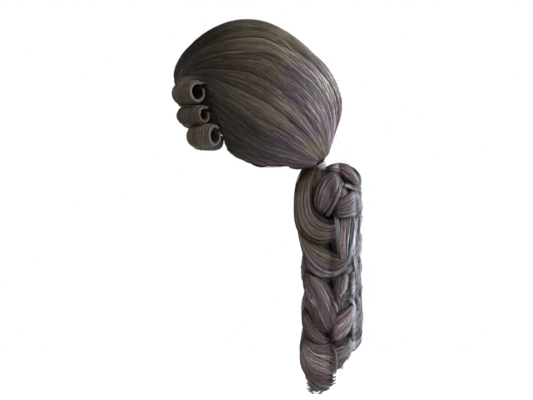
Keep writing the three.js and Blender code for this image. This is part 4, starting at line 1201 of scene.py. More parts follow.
def make_ringlet(name, body, node, ring, count, rad, seg=19, ice_highlight=0.5, level_add=0.0, extra=None, heart=0.60):
    rng = np.random.default_rng(ring.seed)
    b = Build()
    # solid heart so that nothing shows through, near-black as painted shade
    idx = np.linspace(0, 499, 46).astype(int)
    k = np.arange(16) / 16 * 2 * np.pi
    rr = ring.r[idx] * heart
    rings = ring.P[idx][:, None] + rr[:, None, None] * (np.cos(k)[None, :, None] * ring.U[idx][:, None] + np.sin(k)[None, :, None] * ring.V[idx][:, None])
    b.tube(rings, 1)
    # the band itself
    L = np.linspace(0, ring.turns, int(ring.turns * 40) + 2)
    tt = np.linspace(0, 1, 22)
    ll, t2 = np.meshgrid(L, tt, indexing="ij")
    outer, on = ring.point(ll, t2, np.full(ll.shape, -0.9))
    inner, _ = ring.point(ll, t2, np.full(ll.shape, -2.2))
    lev, hue = tail_tone(outer, on * 0)
    edge = np.exp(-(t2 / 0.12) ** 2) + np.exp(-((1 - t2) / 0.08) ** 2)
    # the band under the strands is painted darker as shade, darkest at its edges where the turns tuck under
    m = pick(lev - 1.5 - 1.2 * edge + level_add, hue, rng.random((*ll.shape, 2)))[:-1, :-1]
    b.slab(outer, inner, m)
    n = int(count * dense)
    length = rng.uniform(0.9, 2.4, n)
    lam0 = rng.uniform(-0.25, 1.0, n) * (ring.turns - 0.5 * length)
    lam0 = np.clip(lam0, -0.05, None)
    lam1 = np.minimum(lam0 + length, ring.turns + rng.uniform(-0.05, 0.22, n))
    t0 = rng.beta(1.05, 0.95, n)
    N = int(seg * 1.75)
    u = np.linspace(0, 1, N)[None, :]
    lam = lam0[:, None] + (lam1 - lam0)[:, None] * u
    t = t0[:, None] + 0.05 * vnoise(lam * 2.1 + t0[:, None] * 9, t0[:, None] * 13, ring.seed + 4) + rng.normal(0, 0.03, n)[:, None] * (u - 0.5)
    t = np.clip(t, 0.0, 1.0)
    lift = rng.uniform(-0.7, 0.45, n)[:, None]
    ends = smooth(u / 0.10) * smooth((1 - u) / 0.10)
    pos, nrm = ring.point(lam, t, lift - 0.9 * (1 - ends))
    # loose tips spring off
    wild = (rng.random(n) < 0.10)[:, None]
    pos = pos + nrm * (wild * 3.2 * np.clip((u - 0.75) / 0.25, 0, 1) ** 2)[..., None]
    lev, hue = tail_tone(pos, nrm)
    cl = np.floor(t * 6 + 0.8 * vnoise(lam * 1.3, t * 3, ring.seed + 2))
    # painted highlight across the crown of each band, and painted shade at its upper edge under the turn above
    lev = lev + level_add + 0.9 * (hash2(cl, np.floor(lam), ring.seed) - 0.5) + rng.normal(0, 0.55, n)[:, None] + 0.5 * np.exp(-((t - 0.55) / 0.22) ** 2)
    lev = lev - 1.0 * np.exp(-(t / 0.10) ** 2)
    # painted cool highlight toward the back of the head: strands facing the back light, and tips among them, are
    # lighter and icier
    away = smooth((nrm[..., 1] - 0.25) / 0.6)
    tip = (rng.random(n) < 0.55)[:, None] * away
    lev = lev + ice_highlight * (1.5 * tip + 0.3 * away)
    hue = hue + ice_highlight * (0.7 * tip + 0.3 * away) + rng.normal(0, 0.18, n)[:, None]
    mat = pick(lev, hue, np.repeat(rng.random((n, 1, 2)), N, 1))
    r = rng.uniform(rad[0], rad[1], n)[:, None] * (0.25 + 0.75 * smooth(u / 0.06)) * (0.15 + 0.85 * smooth((1 - u) / 0.12))
    b.strands(pos, r, nrm, mat)
    n = int(90 * dense)
    lam = ring.turns - rng.uniform(0.0, 0.9, n)
    t0 = rng.uniform(0.25, 1.0, n)
    lam_u = lam[:, None] + 0.34 * u
    pos, nrm = ring.point(lam_u, t0[:, None] + 0 * u, rng.uniform(-1.2, 0.2, n)[:, None])
    foot = ring.P[-1]
    draw = smooth((u - 0.3) / 0.7)
    pull = rng.uniform(0.15, 0.75, n)[:, None] * draw
    drop = rng.uniform(2, 9, n)[:, None] * draw
    pos = pos * (1 - pull[..., None]) + np.stack([foot[0] + 0 * pull, foot[1] + 0 * pull, pos[..., 2]], -1) * pull[..., None]
    pos[..., 2] = np.maximum(pos[..., 2] - drop, ring.P[-1, 2] - 5.5)
    lev, hue = tail_tone(pos, nrm)
    lev = lev + level_add + rng.normal(0, 0.7, n)[:, None]
    b.strands(pos, rng.uniform(rad[0], rad[1], n)[:, None] * (0.2 + 0.8 * smooth((1 - u) / 0.3)), nrm, pick(lev, hue, np.repeat(rng.random((n, 1, 2)), N, 1)))
    if extra:
        extra(b, rng)
    return done(b.object(name, PALETTE), body, "hair_silver", node)


# ---------------------------------------------------------------------------
# Laid locks: each one runs between two edge lines, given as (y, z) in mm/1.4
# steps from (-252, 100), over a depth that the ringlets under it set
# ---------------------------------------------------------------------------
def column(y, xc, a, yc, b):
    q = (y - yc) / b
    return xc + a * np.sqrt(np.clip(1 - q * q, 0, 1)) - 14 * np.clip(np.abs(q) - 1, 0, 3)


def depth_left(y, z):
    s = smooth((-z - 98) / 38.0)
    lo = smooth((-z - 200) / 40.0)
    c1 = column(y, 5 + 14.5 * s, 8.5 + 11.5 * s, 99 - 11 * s + 2 * lo, 16 + 11 * s - 4.5 * lo)
    c2 = column(y, 7 + 18 * s, 8 + 7.5 * s, 110 + 14.5 * s, 10 + 8 * s)
    c3 = column(y, -2 + 0 * y, 15.2, 138 + 0 * y, 18)
    k = 2.2
    return k * np.log(np.exp(c1 / k) + np.exp(c2 / k) + np.exp(c3 / k))


def depth_right(y, z):
    s = smooth((-z - 98) / 38.0)
    c1 = column(y, 5 + 15.5 * s, 8.5 + 10 * s, 99 - 11 * s, 16 + 7 * s)
    c2 = column(y, 7 + 26 * s, 8 + 6.5 * s, 110 + 9 * s, 10 + 7.5 * s)
    c3 = column(y, 3 + 0 * y, 15.2, 138 + 0 * y, 18)
    k = 2.2
    return k * np.log(np.exp(c1 / k) + np.exp(c2 / k) + np.exp(c3 / k))


def spline(keys, n):
    return curve_points([(*k, 0.0)[:3] for k in keys], n)[0]


def lay_lock(b, A, B, count, side, seed, layer=1.5, arch=4.5, tuck=(5, 5), ice_highlight=0.0, level=0.0, hue=0.0, rad=(0.26, 0.42), clumps=5, fuzz=0.06, under=True, shift=(0, 0)):
    rng = np.random.default_rng(seed)
    N = 30
    a, c = spline(A, 200), spline(B, 200)
    tk = np.linspace(0, 1, 200)
    b_side = (c[:, 0] - a[:, 0]).mean()
    depth = depth_left if side > 0 else depth_right

    def at(t, wide, off, floor_to=None):
        w = np.clip(wide, 0, 1)
        wall = np.clip(np.maximum(-wide, wide - 1) / 0.3, 0, 1)
        g = [(1 - w) * np.interp(t, tk, a[:, k]) + w * np.interp(t, tk, c[:, k]) for k in range(3)]
        y, z = (g[0] + shift[0] - 252) * 1.4, (100 - g[1] - shift[1]) * 1.4
        edge = np.abs(2 * w - 1)
        x4 = w * clumps + 0.35 * vnoise(t * 2.2, w * 4, seed + 1)
        c4 = x4 - np.floor(x4)
        x = depth(y, z) + g[2] + layer + arch * (1 - edge ** 2.3) - 1.2 * arch * edge ** 9
        x = x + 1.5 * (1 - np.abs(2 * c4 - 1) ** 2) * (1 - edge ** 6) - 0.7
        x = x - tuck[0] * (1 - smooth(t / 0.2)) - tuck[1] * (1 - smooth((1 - t) / 0.17))
        x = x - (layer + 5.0) * wall ** 1.3
        y = y - np.sign(wide - 0.5) * 1.6 * wall * np.sign(b_side)
        if floor_to is not None:
            x = np.minimum(x - 2.0, depth(y, z) + g[2] - floor_to)
        return np.stack([side * (x + off), y, z], -1), np.floor(x4), c4

    def normal(t, w):
        e = 0.02
        d1 = at(np.clip(t + e, 0, 1), w, 0)[0] - at(np.clip(t - e, 0, 1), w, 0)[0]
        d2 = at(t, np.clip(w + e, 0, 1), 0)[0] - at(t, np.clip(w - e, 0, 1), 0)[0]
        n = unit(np.cross(d1, d2))
        return n * np.where(n[..., :1] * side < 0, -1, 1)

    if under:
        tt, ww = np.meshgrid(np.linspace(0.07, 0.93, 34), np.linspace(0.07, 0.93, 26), indexing="ij")
        n = normal(tt, ww)
        p = at(tt, ww, 0)[0]
        lev, h = tail_tone(p, n * 0)
        rim = np.abs(2 * ww - 1) ** 6 + np.abs(2 * tt - 1) ** 6
        # the under-slab is painted dark as shade, darkest at its rim, so its exposed walls read as shadow
        m = pick(lev - 1.9 + level - 2.2 * np.clip(rim, 0, 1), h + hue, rng.random((*tt.shape, 2)))[:-1, :-1]
        b.slab(p - 0.9 * n, at(tt, ww, 0, 3.0)[0], m)
    n_s = int(count * 1.3 * dense)
    u = np.linspace(0, 1, N)[None, :]
    start = np.where(rng.random(n_s) < 0.3, rng.uniform(0.0, 0.35, n_s), 0.0)[:, None]
    stop = np.where(rng.random(n_s) < 0.35, rng.uniform(0.6, 1.0, n_s), 1.0)[:, None]
    t = start + (stop - start) * u
    w0 = rng.uniform(-0.18, 1.18, n_s)[:, None]
    w = w0 + fuzz * vnoise(t * 2.4 + w0 * 30, w0 * 17, seed + 5) + 0.6 * fuzz * rng.normal(0, 1, n_s)[:, None] * (u - 0.5)
    loose = (rng.random(n_s) < 0.06)[:, None]
    w = w + loose * rng.normal(0, 0.16, n_s)[:, None] * u ** 2
    w = np.clip(w, -0.3, 1.3)
    off = rng.uniform(-0.8, 0.7, n_s)[:, None] + loose * 2.4 * u ** 2
    pos, clump, cross = at(t, w, off)
    nrm = normal(t, np.clip(w, 0.02, 0.98))
    lev, h = tail_tone(pos, nrm)
    edge = np.clip(np.abs(2 * w - 1), 0, 1.12)
    lev = lev - 0.25 + level + 1.7 * (hash2(clump, clump * 0, seed) - 0.5) + rng.normal(0, 0.8, n_s)[:, None]
    # painted highlight along the middle of each lock; painted shade at its tucked sides, at its start under the lock
    # before it, and at the end of a lock with no icy tip
    lev = lev + 1.1 * np.sin(np.pi * t) * (1 - edge ** 3) - 2.4 * edge ** 5 - 2.0 * (1 - smooth(t / 0.18)) - 0.8 * smooth((t - 0.9) / 0.1) * (ice_highlight < 0.2)
    # painted shade between clumps
    lev = lev - 1.0 * np.exp(-(np.minimum(cross, 1 - cross) / 0.10) ** 2)
    h = h + hue + rng.normal(0, 0.22, n_s)[:, None] + 0.5 * (hash2(clump, clump * 0, seed + 2) - 0.5)
    # painted icy highlight on the ends of the locks
    tip = smooth((t - 0.80) / 0.2) * ice_highlight * (rng.random(n_s) < 0.7)[:, None]
    lev = lev + 3.6 * tip
    h = h + 1.3 * tip
    # painted glints along some strands
    glint = (rng.random(n_s) < 0.15)[:, None] * np.sin(np.pi * t)
    lev = lev + 2.1 * glint
    h = h + 0.5 * glint
    mat = pick(lev, h, np.repeat(rng.random((n_s, 1, 2)), N, 1))
    r = rng.uniform(rad[0], rad[1], n_s)[:, None] * (0.3 + 0.7 * smooth(u / 0.06)) * (0.2 + 0.8 * smooth((1 - u) / 0.10))
    b.strands(pos, r, nrm, mat)


# painted icy highlights: fuzzy pale wisps laid along lock edges where the back light catches them
RIM_LIT_LOCK = dict(layer=5.3, arch=1.0, tuck=(5, 3), ice_highlight=0.3, clumps=4, hue=1.1, level=1.6, fuzz=0.50, under=False, rad=(0.16, 0.27))
RIM_LIT_FRONT = [
    dict(A=[(332, 214), (333.5, 223), (334, 233), (334.5, 242)], B=[(336, 213), (338, 222), (338.5, 232), (338.5, 243)], count=60, **RIM_LIT_LOCK),
    dict(A=[(304, 252), (309, 262), (318, 269), (330, 271), (340, 266), (345, 258)], B=[(303, 256), (308, 267), (317, 275), (331, 276), (342, 270), (347, 260)], count=60, **RIM_LIT_LOCK),
    dict(A=[(304, 280), (308, 290), (315, 299), (324, 307), (331, 313)], B=[(303.5, 284), (307, 296), (313, 306), (321, 315), (328, 322)], count=34, **RIM_LIT_LOCK),
    dict(A=[(330, 300), (333.5, 305), (335.5, 311)], B=[(332, 296), (336, 303), (337, 311)], count=50, **RIM_LIT_LOCK),
    dict(A=[(330, 343), (333.5, 350), (334, 360), (333, 370)], B=[(332, 342), (335.5, 350), (336.5, 360), (335, 371)], count=50, **RIM_LIT_LOCK),
]
RIM_LIT_BACK_LEFT = [
    dict(A=[(338, 179), (337, 189), (333, 200), (328, 209), (324, 215)], B=[(340.5, 181), (339.5, 192), (336, 203), (331, 212), (328, 217)], count=80, **RIM_LIT_LOCK),
    dict(A=[(351, 214), (353, 226), (351, 238), (347.5, 250), (345, 262)], B=[(357, 214), (357, 226), (355, 240), (352, 252), (349, 264)], count=150, **RIM_LIT_LOCK),
    dict(A=[(340, 271), (342, 279), (340, 288), (336, 294)], B=[(345, 270), (347, 279), (345, 288), (340, 296)], count=60, **RIM_LIT_LOCK),
    dict(A=[(345, 296), (350, 301), (352, 309), (350, 318)], B=[(348, 293), (354, 300), (355, 310), (352.5, 320)], count=90, **RIM_LIT_LOCK),
    dict(A=[(345, 336), (347.5, 341), (347, 349), (343.5, 357)], B=[(348, 334), (350.5, 341), (350, 350), (346, 358)], count=60, **RIM_LIT_LOCK),
]
RIM_LIT_BACK = [
    dict(A=[(352, 167), (357, 173), (358.5, 181), (356, 189)], B=[(355, 169), (360.5, 176), (361, 184), (358.5, 191)], count=90, **RIM_LIT_LOCK),
    dict(A=[(342, 184), (347, 183), (353, 186), (356, 191)], B=[(341, 188), (346, 188), (352, 190), (356, 194)], count=40, **RIM_LIT_LOCK),
    dict(A=[(354, 195), (358, 201), (359, 208), (356, 215)], B=[(356.5, 194), (361, 201), (361.5, 209), (359, 216)], count=70, **RIM_LIT_LOCK),
    dict(A=[(349, 250), (352, 262), (354, 275), (355, 288)], B=[(353, 250), (357, 262), (359, 275), (360, 288)], count=130, **RIM_LIT_LOCK),
    dict(A=[(352, 292), (356, 302), (358, 315), (357, 330)], B=[(355, 290), (360, 301), (362.5, 316), (361, 332)], count=90, **RIM_LIT_LOCK),
]
FRONT_LOCKS = [
    # one long swoop off the tie, down the front and back across
    dict(A=[(311, 165.5), (302, 173), (295.5, 188), (293.5, 208), (295.5, 226), (303, 238.5), (317, 244.5), (335, 241)],
         B=[(319, 167), (316, 176), (312.5, 187), (312, 198), (315, 208), (321, 214.5), (328.5, 218), (337, 219)],
         count=330, layer=3.2, arch=5.0, tuck=(4, 3), ice_highlight=0.55, clumps=6, level=-0.1),
    # the next turn: down and back, then up again at its end
    dict(A=[(296, 222), (299, 240), (304, 258), (312, 271), (323, 277.5), (334, 277), (343, 269), (347.5, 258)],
         B=[(298, 228), (305, 238), (314, 243), (324, 247), (332, 251), (338, 254), (342, 256), (345.5, 252)],
         count=300, layer=2.2, arch=5.5, tuck=(6, 3), ice_highlight=0.55, clumps=6, level=0.35),
    dict(A=[(303, 268), (303, 282), (306, 297), (311, 311), (317, 322), (323, 330), (330, 333)],
         B=[(307, 272), (317, 275), (326, 281), (332.5, 290), (335.5, 300), (336.5, 309), (335, 318)],
         count=280, layer=2.4, arch=5.5, tuck=(6, 4), ice_highlight=0.25, clumps=6, level=0.45),
    dict(A=[(301, 312), (302, 324), (305, 333), (312, 340), (321, 343), (329, 340)],
         B=[(304, 306), (309, 315), (315, 325), (321, 332), (326, 335), (331, 335)],
         count=120, layer=0.2, arch=2.5, tuck=(4, 4), clumps=3, level=-0.7),
    dict(A=[(301, 343), (299.5, 355), (301, 366), (307, 375), (317, 381), (327, 384), (335, 381)],
         B=[(303, 333), (309, 337.5), (317, 339.5), (325, 339), (330, 339.5), (333, 342), (335, 348)],
         count=320, layer=2.6, arch=5.5, tuck=(5, 3.5), ice_highlight=0.15, clumps=7, level=0.5),
]
FRONT_LOW = [
    dict(A=[(306, 372), (309, 380), (315, 386), (322, 388.5), (329, 387)],
         B=[(308, 366), (316, 374), (324, 377), (330, 378), (333, 379)],
         count=110, layer=0.6, arch=2.6, tuck=(3, 3), clumps=3, level=0.2),
]
BACK_LEFT_LOCKS = [
    # the short curl that hangs straight out of the wrap
    dict(A=[(314, 212, -3), (312.5, 202), (313, 190), (317, 180), (323.5, 174), (331, 171.5), (338, 173)],
         B=[(320, 216, -3), (326, 211), (331, 204), (334.5, 197), (337, 190), (338.5, 184), (340, 179)],
         count=280, layer=6.5, arch=5.5, tuck=(8, 4), ice_highlight=0.6, clumps=5, hue=0.25, level=-0.1),
    # strands that drop straight behind the swoop
    dict(A=[(336, 214), (335, 223), (334, 234), (334, 244), (336, 253), (339, 262)],
         B=[(356, 215), (355, 225), (354, 236), (353, 246), (351, 256), (348, 266)],
         count=240, layer=2.0, arch=3.0, tuck=(4, 4), ice_highlight=0.95, clumps=6, hue=0.3, level=0.3, fuzz=0.10),
    dict(A=[(334, 272), (333, 282), (333, 292), (334, 302), (335, 310)],
         B=[(350, 268), (348, 280), (345, 292), (343, 300), (342, 308)],
         count=150, layer=0.8, arch=2.5, tuck=(4, 4), ice_highlight=0.3, clumps=4, level=0.0, fuzz=0.10),
    dict(A=[(330, 342), (334, 340), (340, 338), (346, 333), (350, 326), (353, 318)],
         B=[(329, 322), (333, 315), (339, 310), (345, 306), (350, 302), (354, 299)],
         count=240, layer=2.8, arch=5.0, tuck=(5, 3), ice_highlight=0.7, clumps=5, level=0.6, hue=0.1),
    dict(A=[(331, 362), (334, 366), (339, 365), (344, 359), (347, 352), (349, 346)],
         B=[(330, 344), (333, 343), (338, 342), (343, 340), (347, 337), (350, 334)],
         count=190, layer=1.8, arch=4.0, tuck=(4, 3), ice_highlight=0.6, clumps=5, level=0.4),
]
BACK_LOCKS = [
    # the loop over the back of the tie
    dict(A=[(326, 167, -7), (332, 164.5), (340, 163), (348, 165), (355, 170), (359.5, 177), (360.5, 185), (358, 192)],
         B=[(327, 173, -4), (332, 173), (338, 175), (343, 178.5), (347, 181), (350, 183), (352, 185), (353, 188)],
         count=280, layer=3.0, arch=5.0, tuck=(3, 4), ice_highlight=0.75, clumps=5, hue=0.1, level=0.9),
    dict(A=[(333, 216), (340, 218.5), (347, 218), (353, 216.5), (358, 213), (361, 208)],
         B=[(333, 206), (337, 201), (342, 197), (348, 193), (353, 191), (357.5, 193)],
         count=280, layer=7.5, arch=6.0, tuck=(7, 3), ice_highlight=0.85, clumps=5, hue=0.25, level=0.0),
    # tight, fuzzy turns down the back edge
    dict(A=[(346, 262), (351, 264), (356, 260), (359, 250), (360, 238)],
         B=[(346, 240), (350, 236), (354, 230), (357, 224), (359.5, 216)],
         count=170, layer=1.5, arch=3.0, tuck=(4, 3), ice_highlight=0.9, clumps=4, hue=0.3, level=0.5, fuzz=0.12),
    dict(A=[(347, 298), (351, 300), (356, 297), (360, 290), (361, 282)],
         B=[(347, 274), (350, 270), (354, 266), (357, 262), (359.5, 256)],
         count=170, layer=1.5, arch=3.0, tuck=(4, 3), ice_highlight=0.9, clumps=4, hue=0.3, level=0.5, fuzz=0.12),
    dict(A=[(348, 336), (352, 340), (357, 338), (361, 330), (362.5, 320)],
         B=[(348, 308), (351, 304), (355, 299), (359, 294), (361, 288)],
         count=210, layer=2.0, arch=4.0, tuck=(4, 3), ice_highlight=0.7, clumps=5, hue=0.2, level=0.6, fuzz=0.12),
    dict(A=[(346, 346), (350, 349), (354, 348.5), (358, 344), (361, 338)],
         B=[(348, 336), (352, 338), (356, 337), (360, 333), (362, 328)],
         count=110, layer=1.0, arch=2.5, tuck=(3, 3), ice_highlight=0.5, clumps=3, hue=0.2, level=0.4, fuzz=0.15),
]


# the ringlets, and the locks laid over them on both sides
def laid(items, side, seed, shift=(0, 0), thin=1.0):
    def add(b, rng):
        for k, item in enumerate(items):
            spec = dict(item)
            spec["count"] = int(spec["count"] * thin)
            lay_lock(b, side=side, seed=seed + 7 * k, shift=shift, **spec)
    return add


R_A = Ringlet([(6, 101, -104), (13, 92, -112), (19, 86.5, -130), (20, 86, -160), (20, 88.5, -200), (19.7, 90, -240), (19.7, 91, -280), (19.7, 90, -330), (19.7, 89.5, -404)],
              [7, 13.0, 16.5, 18.0, 18.4, 19.0, 19.4, 19.4, 19.2, 18.5, 13.0], [70, 72, 70, 62, 52, 44, 38, 32], -1, 2.2, 400)
make_ringlet("ringlet_hair_front_left", "ringlet_front_left", "ringlet_front_left", R_A, 620, (0.30, 0.46), 15, 0.5, -0.4, laid(FRONT_LOCKS + FRONT_LOW + RIM_LIT_FRONT, 1, 1400))
R_B = Ringlet([(8, 108, -104), (16, 115, -112), (24, 121, -130), (26, 124.5, -170), (26, 125, -220), (26, 124.5, -280), (25, 122, -330), (25, 120, -369)],
              [7, 12, 14.0, 14.8, 15.0, 15.0, 14.8, 14.0, 8.0], [40, 44, 50, 46, 40, 32], 1, 0.6, 410)
make_ringlet("ringlet_hair_back_left", "ringlet_back_left", "ringlet_back_left", R_B, 620, (0.28, 0.42), 15, 0.7, -0.3, laid(BACK_LEFT_LOCKS + RIM_LIT_BACK_LEFT, 1, 1500))
R_C = Ringlet([(0, 106, -103), (-1.2, 115, -103), (-1.6, 124, -104.5), (-2, 132, -108), (-2.5, 138, -116), (-3, 140.4, -130), (-3, 139.6, -152), (-3, 138, -200), (-2, 139, -250), (-2, 139.5, -300), (-2, 137.5, -345)],
              [6.5, 10, 12.5, 14.0, 14.8, 14.8, 14.6, 14.6, 14.8, 13.5, 8.0], [34, 34, 36, 40, 36, 30, 26], 1, 1.8, 420)
make_ringlet("ringlet_hair_back", "ringlet_back", "ringlet_back", R_C, 720, (0.28, 0.42), 15, 0.6, 0.1, laid(BACK_LOCKS + RIM_LIT_BACK, 1, 1600))
R_D = Ringlet([(-6, 102, -105), (-12, 95, -113), (-19, 89, -130), (-21, 88, -165), (-21, 88, -230), (-21, 88.5, -300), (-21, 88, -384)],
              [7, 12.0, 16.0, 17.5, 17.8, 17.8, 17.8, 17.0, 9.5], [60, 58, 52, 46, 38, 32], 1, 4.0, 430)
make_ringlet("ringlet_hair_front_right", "ringlet_front_right", "ringlet_front_right", R_D, 620, (0.30, 0.46), 15, 0.3, -0.3, laid(FRONT_LOCKS, -1, 1700, (0.5, -5), 0.8))
R_E = Ringlet([(-7, 109, -105), (-18, 115, -114), (-30, 118, -132), (-34, 119, -170), (-34.5, 119, -240), (-34, 118, -300), (-34, 118, -359)],
              [6.5, 10.5, 13.2, 13.9, 14.0, 14.0, 13.6, 8.0], [44, 46, 44, 38, 30], -1, 5.0, 440)
make_ringlet("ringlet_hair_back_right", "ringlet_back_right", "ringlet_back_right", R_E, 560, (0.28, 0.42), 15, 0.5, 0.0, laid(BACK_LEFT_LOCKS[1:], -1, 1800, (-3, -3), 0.8))
R_F = Ringlet([(0, 105.8, -111), (-0.5, 108, -122), (-2, 112, -140), (-2, 113, -175), (-2, 113, -250), (-2, 113, -329)],
              [5.5, 9.5, 14.5, 16.0, 15.0, 13, 7], [50, 50, 44, 36], 1, 0.0, 450)
make_ringlet("tail_core_hair", "tail", "tail_core", R_F, 320, (0.32, 0.46), 14, 0.2, -1.6, heart=0.80)


# Tail root: the bundle that comes out of the wrap and bends into the ringlets
def tail_root():
    rng = np.random.default_rng(51)
    b = Build()
    n = int(260 * (1))
    N = 12
    ph = rng.uniform(0, 360, n)
    lay = rng.uniform(0.45, 1.0, n)
    p0 = TIE + TIE_AXIS * 3.5 + tie_radial(ph) * (6.0 * lay)[:, None]
    end = np.array([0, 107, -119.0]) + np.stack([np.sin(np.radians(ph)) * 9 * lay, np.cos(np.radians(ph)) * 9 * lay, rng.uniform(-3, 3, n)], -1)
    d = np.linalg.norm(end - p0, axis=1)[:, None]
    u = np.linspace(0, 1, N)[None, :] * np.ones((n, 1))
    pos = hermite(p0[:, None], (TIE_AXIS * d * 1.0)[:, None], end[:, None], (np.array([0, 0.05, -1.0]) * d * 0.9)[:, None], u)
    nrm = np.repeat(tie_radial(ph)[:, None], N, 1)
    lev = np.repeat(rng.normal(3.4, 0.6, n)[:, None], N, 1)
    hue = np.repeat(rng.normal(0.8, 0.3, n)[:, None], N, 1)
    b.strands(pos, np.repeat(rng.uniform(0.35, 0.5, n)[:, None], N, 1), nrm, pick(lev, hue, np.repeat(rng.random((n, 1, 2)), N, 1)))
    k = np.arange(16) / 16 * 2 * np.pi
    c0, c1 = TIE + TIE_AXIS * 3.5, np.array([0, 106.6, -117.0])
    rings = np.array([c0 * (1 - s) + c1 * s + tie_radial(np.degrees(k)) * r for s, r in ((0, 4.2), (0.3, 4.8), (0.6, 5.2), (1, 5.4))])
    b.tube(rings, LEVELS + 2)
    ob = b.object("tail_root_hair", PALETTE)
    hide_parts("tail_root")
    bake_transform(ob)
    return ob


tail_root()

# ---------------------------------------------------------------------------
# Loose hairs
# ---------------------------------------------------------------------------
def flyaways():
    rng = np.random.default_rng(61)
    N = 16
    t = np.linspace(0, 1, N)[None, :]

    def put(name, body, p0, d0, length, curl, count, level, hue, slot="hair_silver"):
        """p0 (n,3) roots, d0 (n,3) first direction; each hair bends round a random axis."""
        n = len(p0)
        ax = unit(np.cross(d0, rng.normal(0, 1, (n, 3))))
        side = np.cross(ax, d0)
        ang = curl[:, None] * t
        L = length[:, None]
        k = np.where(np.abs(curl) < 1e-3, 1e-3, curl)[:, None]
        pos = p0[:, None] + d0[:, None] * (L * np.sin(ang) / k)[..., None] + side[:, None] * (L * (1 - np.cos(ang)) / k)[..., None]
        nrm = np.repeat(ax[:, None], N, 1)
        mat = pick(np.repeat(rng.normal(level, 1.0, n)[:, None], N, 1), np.repeat(rng.normal(hue, 0.4, n)[:, None], N, 1), np.repeat(rng.random((n, 1, 2)), N, 1))
        r = 0.17 * (0.5 + 0.5 * rng.random(n))[:, None] * (1 - 0.6 * t)
        b = Build()
        b.strands(pos, r, nrm, mat, flat=1.0)
        done(b.object(name, PALETTE), body, slot)

    # round the dome, mostly toward the back and the hem
    n = 150
    q = rng.uniform(-115, 115, n)
    tt = rng.uniform(0.15, 0.95, n)
    ph, th = flow(q, tt)
    ph2, th2 = flow(q, tt + 0.03)
    p0 = on_hair(ph, th, relief(q, th) + 0.2)
    d0 = unit(on_hair(ph2, th2, relief(q, th2)) - p0 + 0.35 * direction(ph, th) + rng.normal(0, 0.1, (n, 3)))
    put("loose_hair_head", "cap", p0, d0, rng.uniform(10, 30, n), rng.uniform(0.3, 1.6, n), n, 4.2, 0.7, "hair_taupe")
    # the wisps that stand over the tie
    n = 16
    p0 = np.stack([rng.uniform(-8, 8, n), rng.uniform(110, 128, n), rng.uniform(-95, -90, n)], -1)
    d0 = unit(np.stack([rng.normal(0, 0.25, n), rng.uniform(0.6, 1.0, n), rng.uniform(0.3, 0.8, n)], -1))
    put("loose_hair_tie", "ringlet_back", p0 + np.array([0, 2.0, -1.5]), d0, rng.uniform(10, 21, n), rng.uniform(1.0, 2.6, n), n, 5.5, 1.3)
    # frizz down each ringlet
    for i, (ring, body, count, lev) in enumerate(((R_A, "ringlet_front_left", 90, 5.0), (R_B, "ringlet_back_left", 90, 6.0), (R_C, "ringlet_back", 170, 8.0), (R_D, "ringlet_front_right", 80, 5.0), (R_E, "ringlet_back_right", 110, 6.5))):
        lam = rng.uniform(0.1, 1.0, count) * ring.turns
        tt = rng.random(count)
        p0, n0 = ring.point(lam, tt, np.zeros(count) - 0.5)
        d0 = unit(n0 + rng.normal(0, 0.7, (count, 3)) + np.array([0, 0.3, -0.3]))
        put(f"loose_hair_{body}", body, p0, d0, rng.uniform(4, 11, count), rng.uniform(0.5, 3.0, count), count, lev, 1.5)


flyaways()

# ---------------------------------------------------------------------------
# Stage and light
# ---------------------------------------------------------------------------
world = bpy.data.worlds.new("studio")
bpy.context.scene.world = world
world.use_nodes = True
wt = world.node_tree
wt.nodes.clear()
out = wt.nodes.new("ShaderNodeOutputWorld")
mixn = wt.nodes.new("ShaderNodeMixShader")
lp = wt.nodes.new("ShaderNodeLightPath")
amb = wt.nodes.new("ShaderNodeBackground")
amb.inputs["Color"].default_value = (1.0, 0.985, 0.97, 1)
amb.inputs["Strength"].default_value = 0.34
seen = wt.nodes.new("ShaderNodeBackground")
seen.inputs["Color"].default_value = (1, 1, 1, 1)
seen.inputs["Strength"].default_value = 1.0
wco = wt.nodes.new("ShaderNodeTexCoord")
wsplit = wt.nodes.new("ShaderNodeSeparateXYZ")
wmap = wt.nodes.new("ShaderNodeMapRange")
wmap.inputs["From Min"].default_value = -0.9
wmap.inputs["From Max"].default_value = 0.9
wmap.inputs["To Min"].default_value = 0.17
wmap.inputs["To Max"].default_value = 0.50
wt.links.new(wco.outputs["Generated"], wsplit.inputs[0])
wt.links.new(wsplit.outputs["Y"], wmap.inputs["Value"])
wt.links.new(wmap.outputs["Result"], amb.inputs["Strength"])
wt.links.new(lp.outputs["Is Camera Ray"], mixn.inputs[0])
wt.links.new(amb.outputs[0], mixn.inputs[1])
wt.links.new(seen.outputs[0], mixn.inputs[2])
wt.links.new(mixn.outputs[0], out.inputs["Surface"])

floor_mat, fb = principled("floor_pale", (0.86, 0.86, 0.86), 0.85, 0.2)
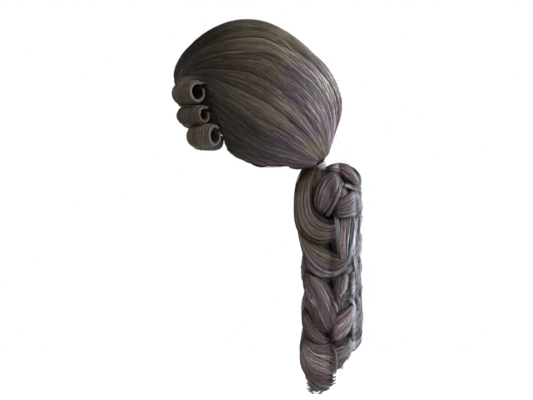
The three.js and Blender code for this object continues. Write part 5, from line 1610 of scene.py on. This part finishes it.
# the floor runs out into the white of the studio
ft = floor_mat.node_tree
fco = ft.nodes.new("ShaderNodeTexCoord")
flen = ft.nodes.new("ShaderNodeVectorMath")
flen.operation = "LENGTH"
fmap = ft.nodes.new("ShaderNodeMapRange")
fmap.inputs["From Min"].default_value = 0.45
fmap.inputs["From Max"].default_value = 1.5
fem = ft.nodes.new("ShaderNodeEmission")
fem.inputs["Strength"].default_value = 1.0
fmix = ft.nodes.new("ShaderNodeMixShader")
ft.links.new(fco.outputs["Object"], flen.inputs[0])
ft.links.new(flen.outputs["Value"], fmap.inputs["Value"])
ft.links.new(fmap.outputs["Result"], fmix.inputs[0])
ft.links.new(fb.outputs[0], fmix.inputs[1])
ft.links.new(fem.outputs[0], fmix.inputs[2])
ft.links.new(fmix.outputs[0], ft.nodes["Material Output"].inputs["Surface"])
K = 96
kk = np.arange(K) / K * 2 * np.pi
fv = np.concatenate([np.stack([9000 * np.cos(kk), 9000 * np.sin(kk), np.full(K, -475.0)], -1), [[0, 0, -475.0]]])
ff = np.stack([np.full(K, K), np.arange(K), (np.arange(K) + 1) % K, np.full(K, -1)], -1)
floor = make_mesh("floor", fv, ff, None, [floor_mat], False)
floor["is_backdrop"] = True


def area(name, loc, target, size, energy, color):
    from mathutils import Vector
    d = bpy.data.lights.new(name, "AREA")
    d.shape = "DISK"
    d.size = size
    d.energy = energy
    d.color = color
    o = bpy.data.objects.new(name, d)
    o.location = loc
    o.rotation_mode = "QUATERNION"
    o.rotation_quaternion = (Vector(loc) - Vector(target)).to_track_quat("Z", "Y")
    bpy.context.collection.objects.link(o)


area("window_back", (-0.7, 2.4, 0.9), (0, 0.05, -0.10), 1.4, 150, (0.84, 0.94, 1.0))
area("window_side", (1.3, 2.0, 0.7), (0, 0.1, -0.2), 1.0, 52, (0.9, 0.95, 1.0))
area("fill", (2.2, 0.2, 2.2), (0, 0.02, -0.1), 1.8, 44, (1.0, 0.97, 0.94))
area("far_side", (-2.2, -0.6, 1.4), (0, 0, -0.1), 1.8, 22, (0.95, 0.97, 1.0))

area("front", (0.2, -2.6, 0.5), (0, 0, -0.1), 1.8, 34, (1.0, 0.98, 0.96))

bpy.context.scene.view_settings.view_transform = "Standard"
bpy.context.scene.view_settings.look = "None"

lo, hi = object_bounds()
({"cad": [list(map(float, CAD_BOX[0])), list(map(float, CAD_BOX[1]))],
           "visual": [list(map(float, lo)), list(map(float, hi))]})
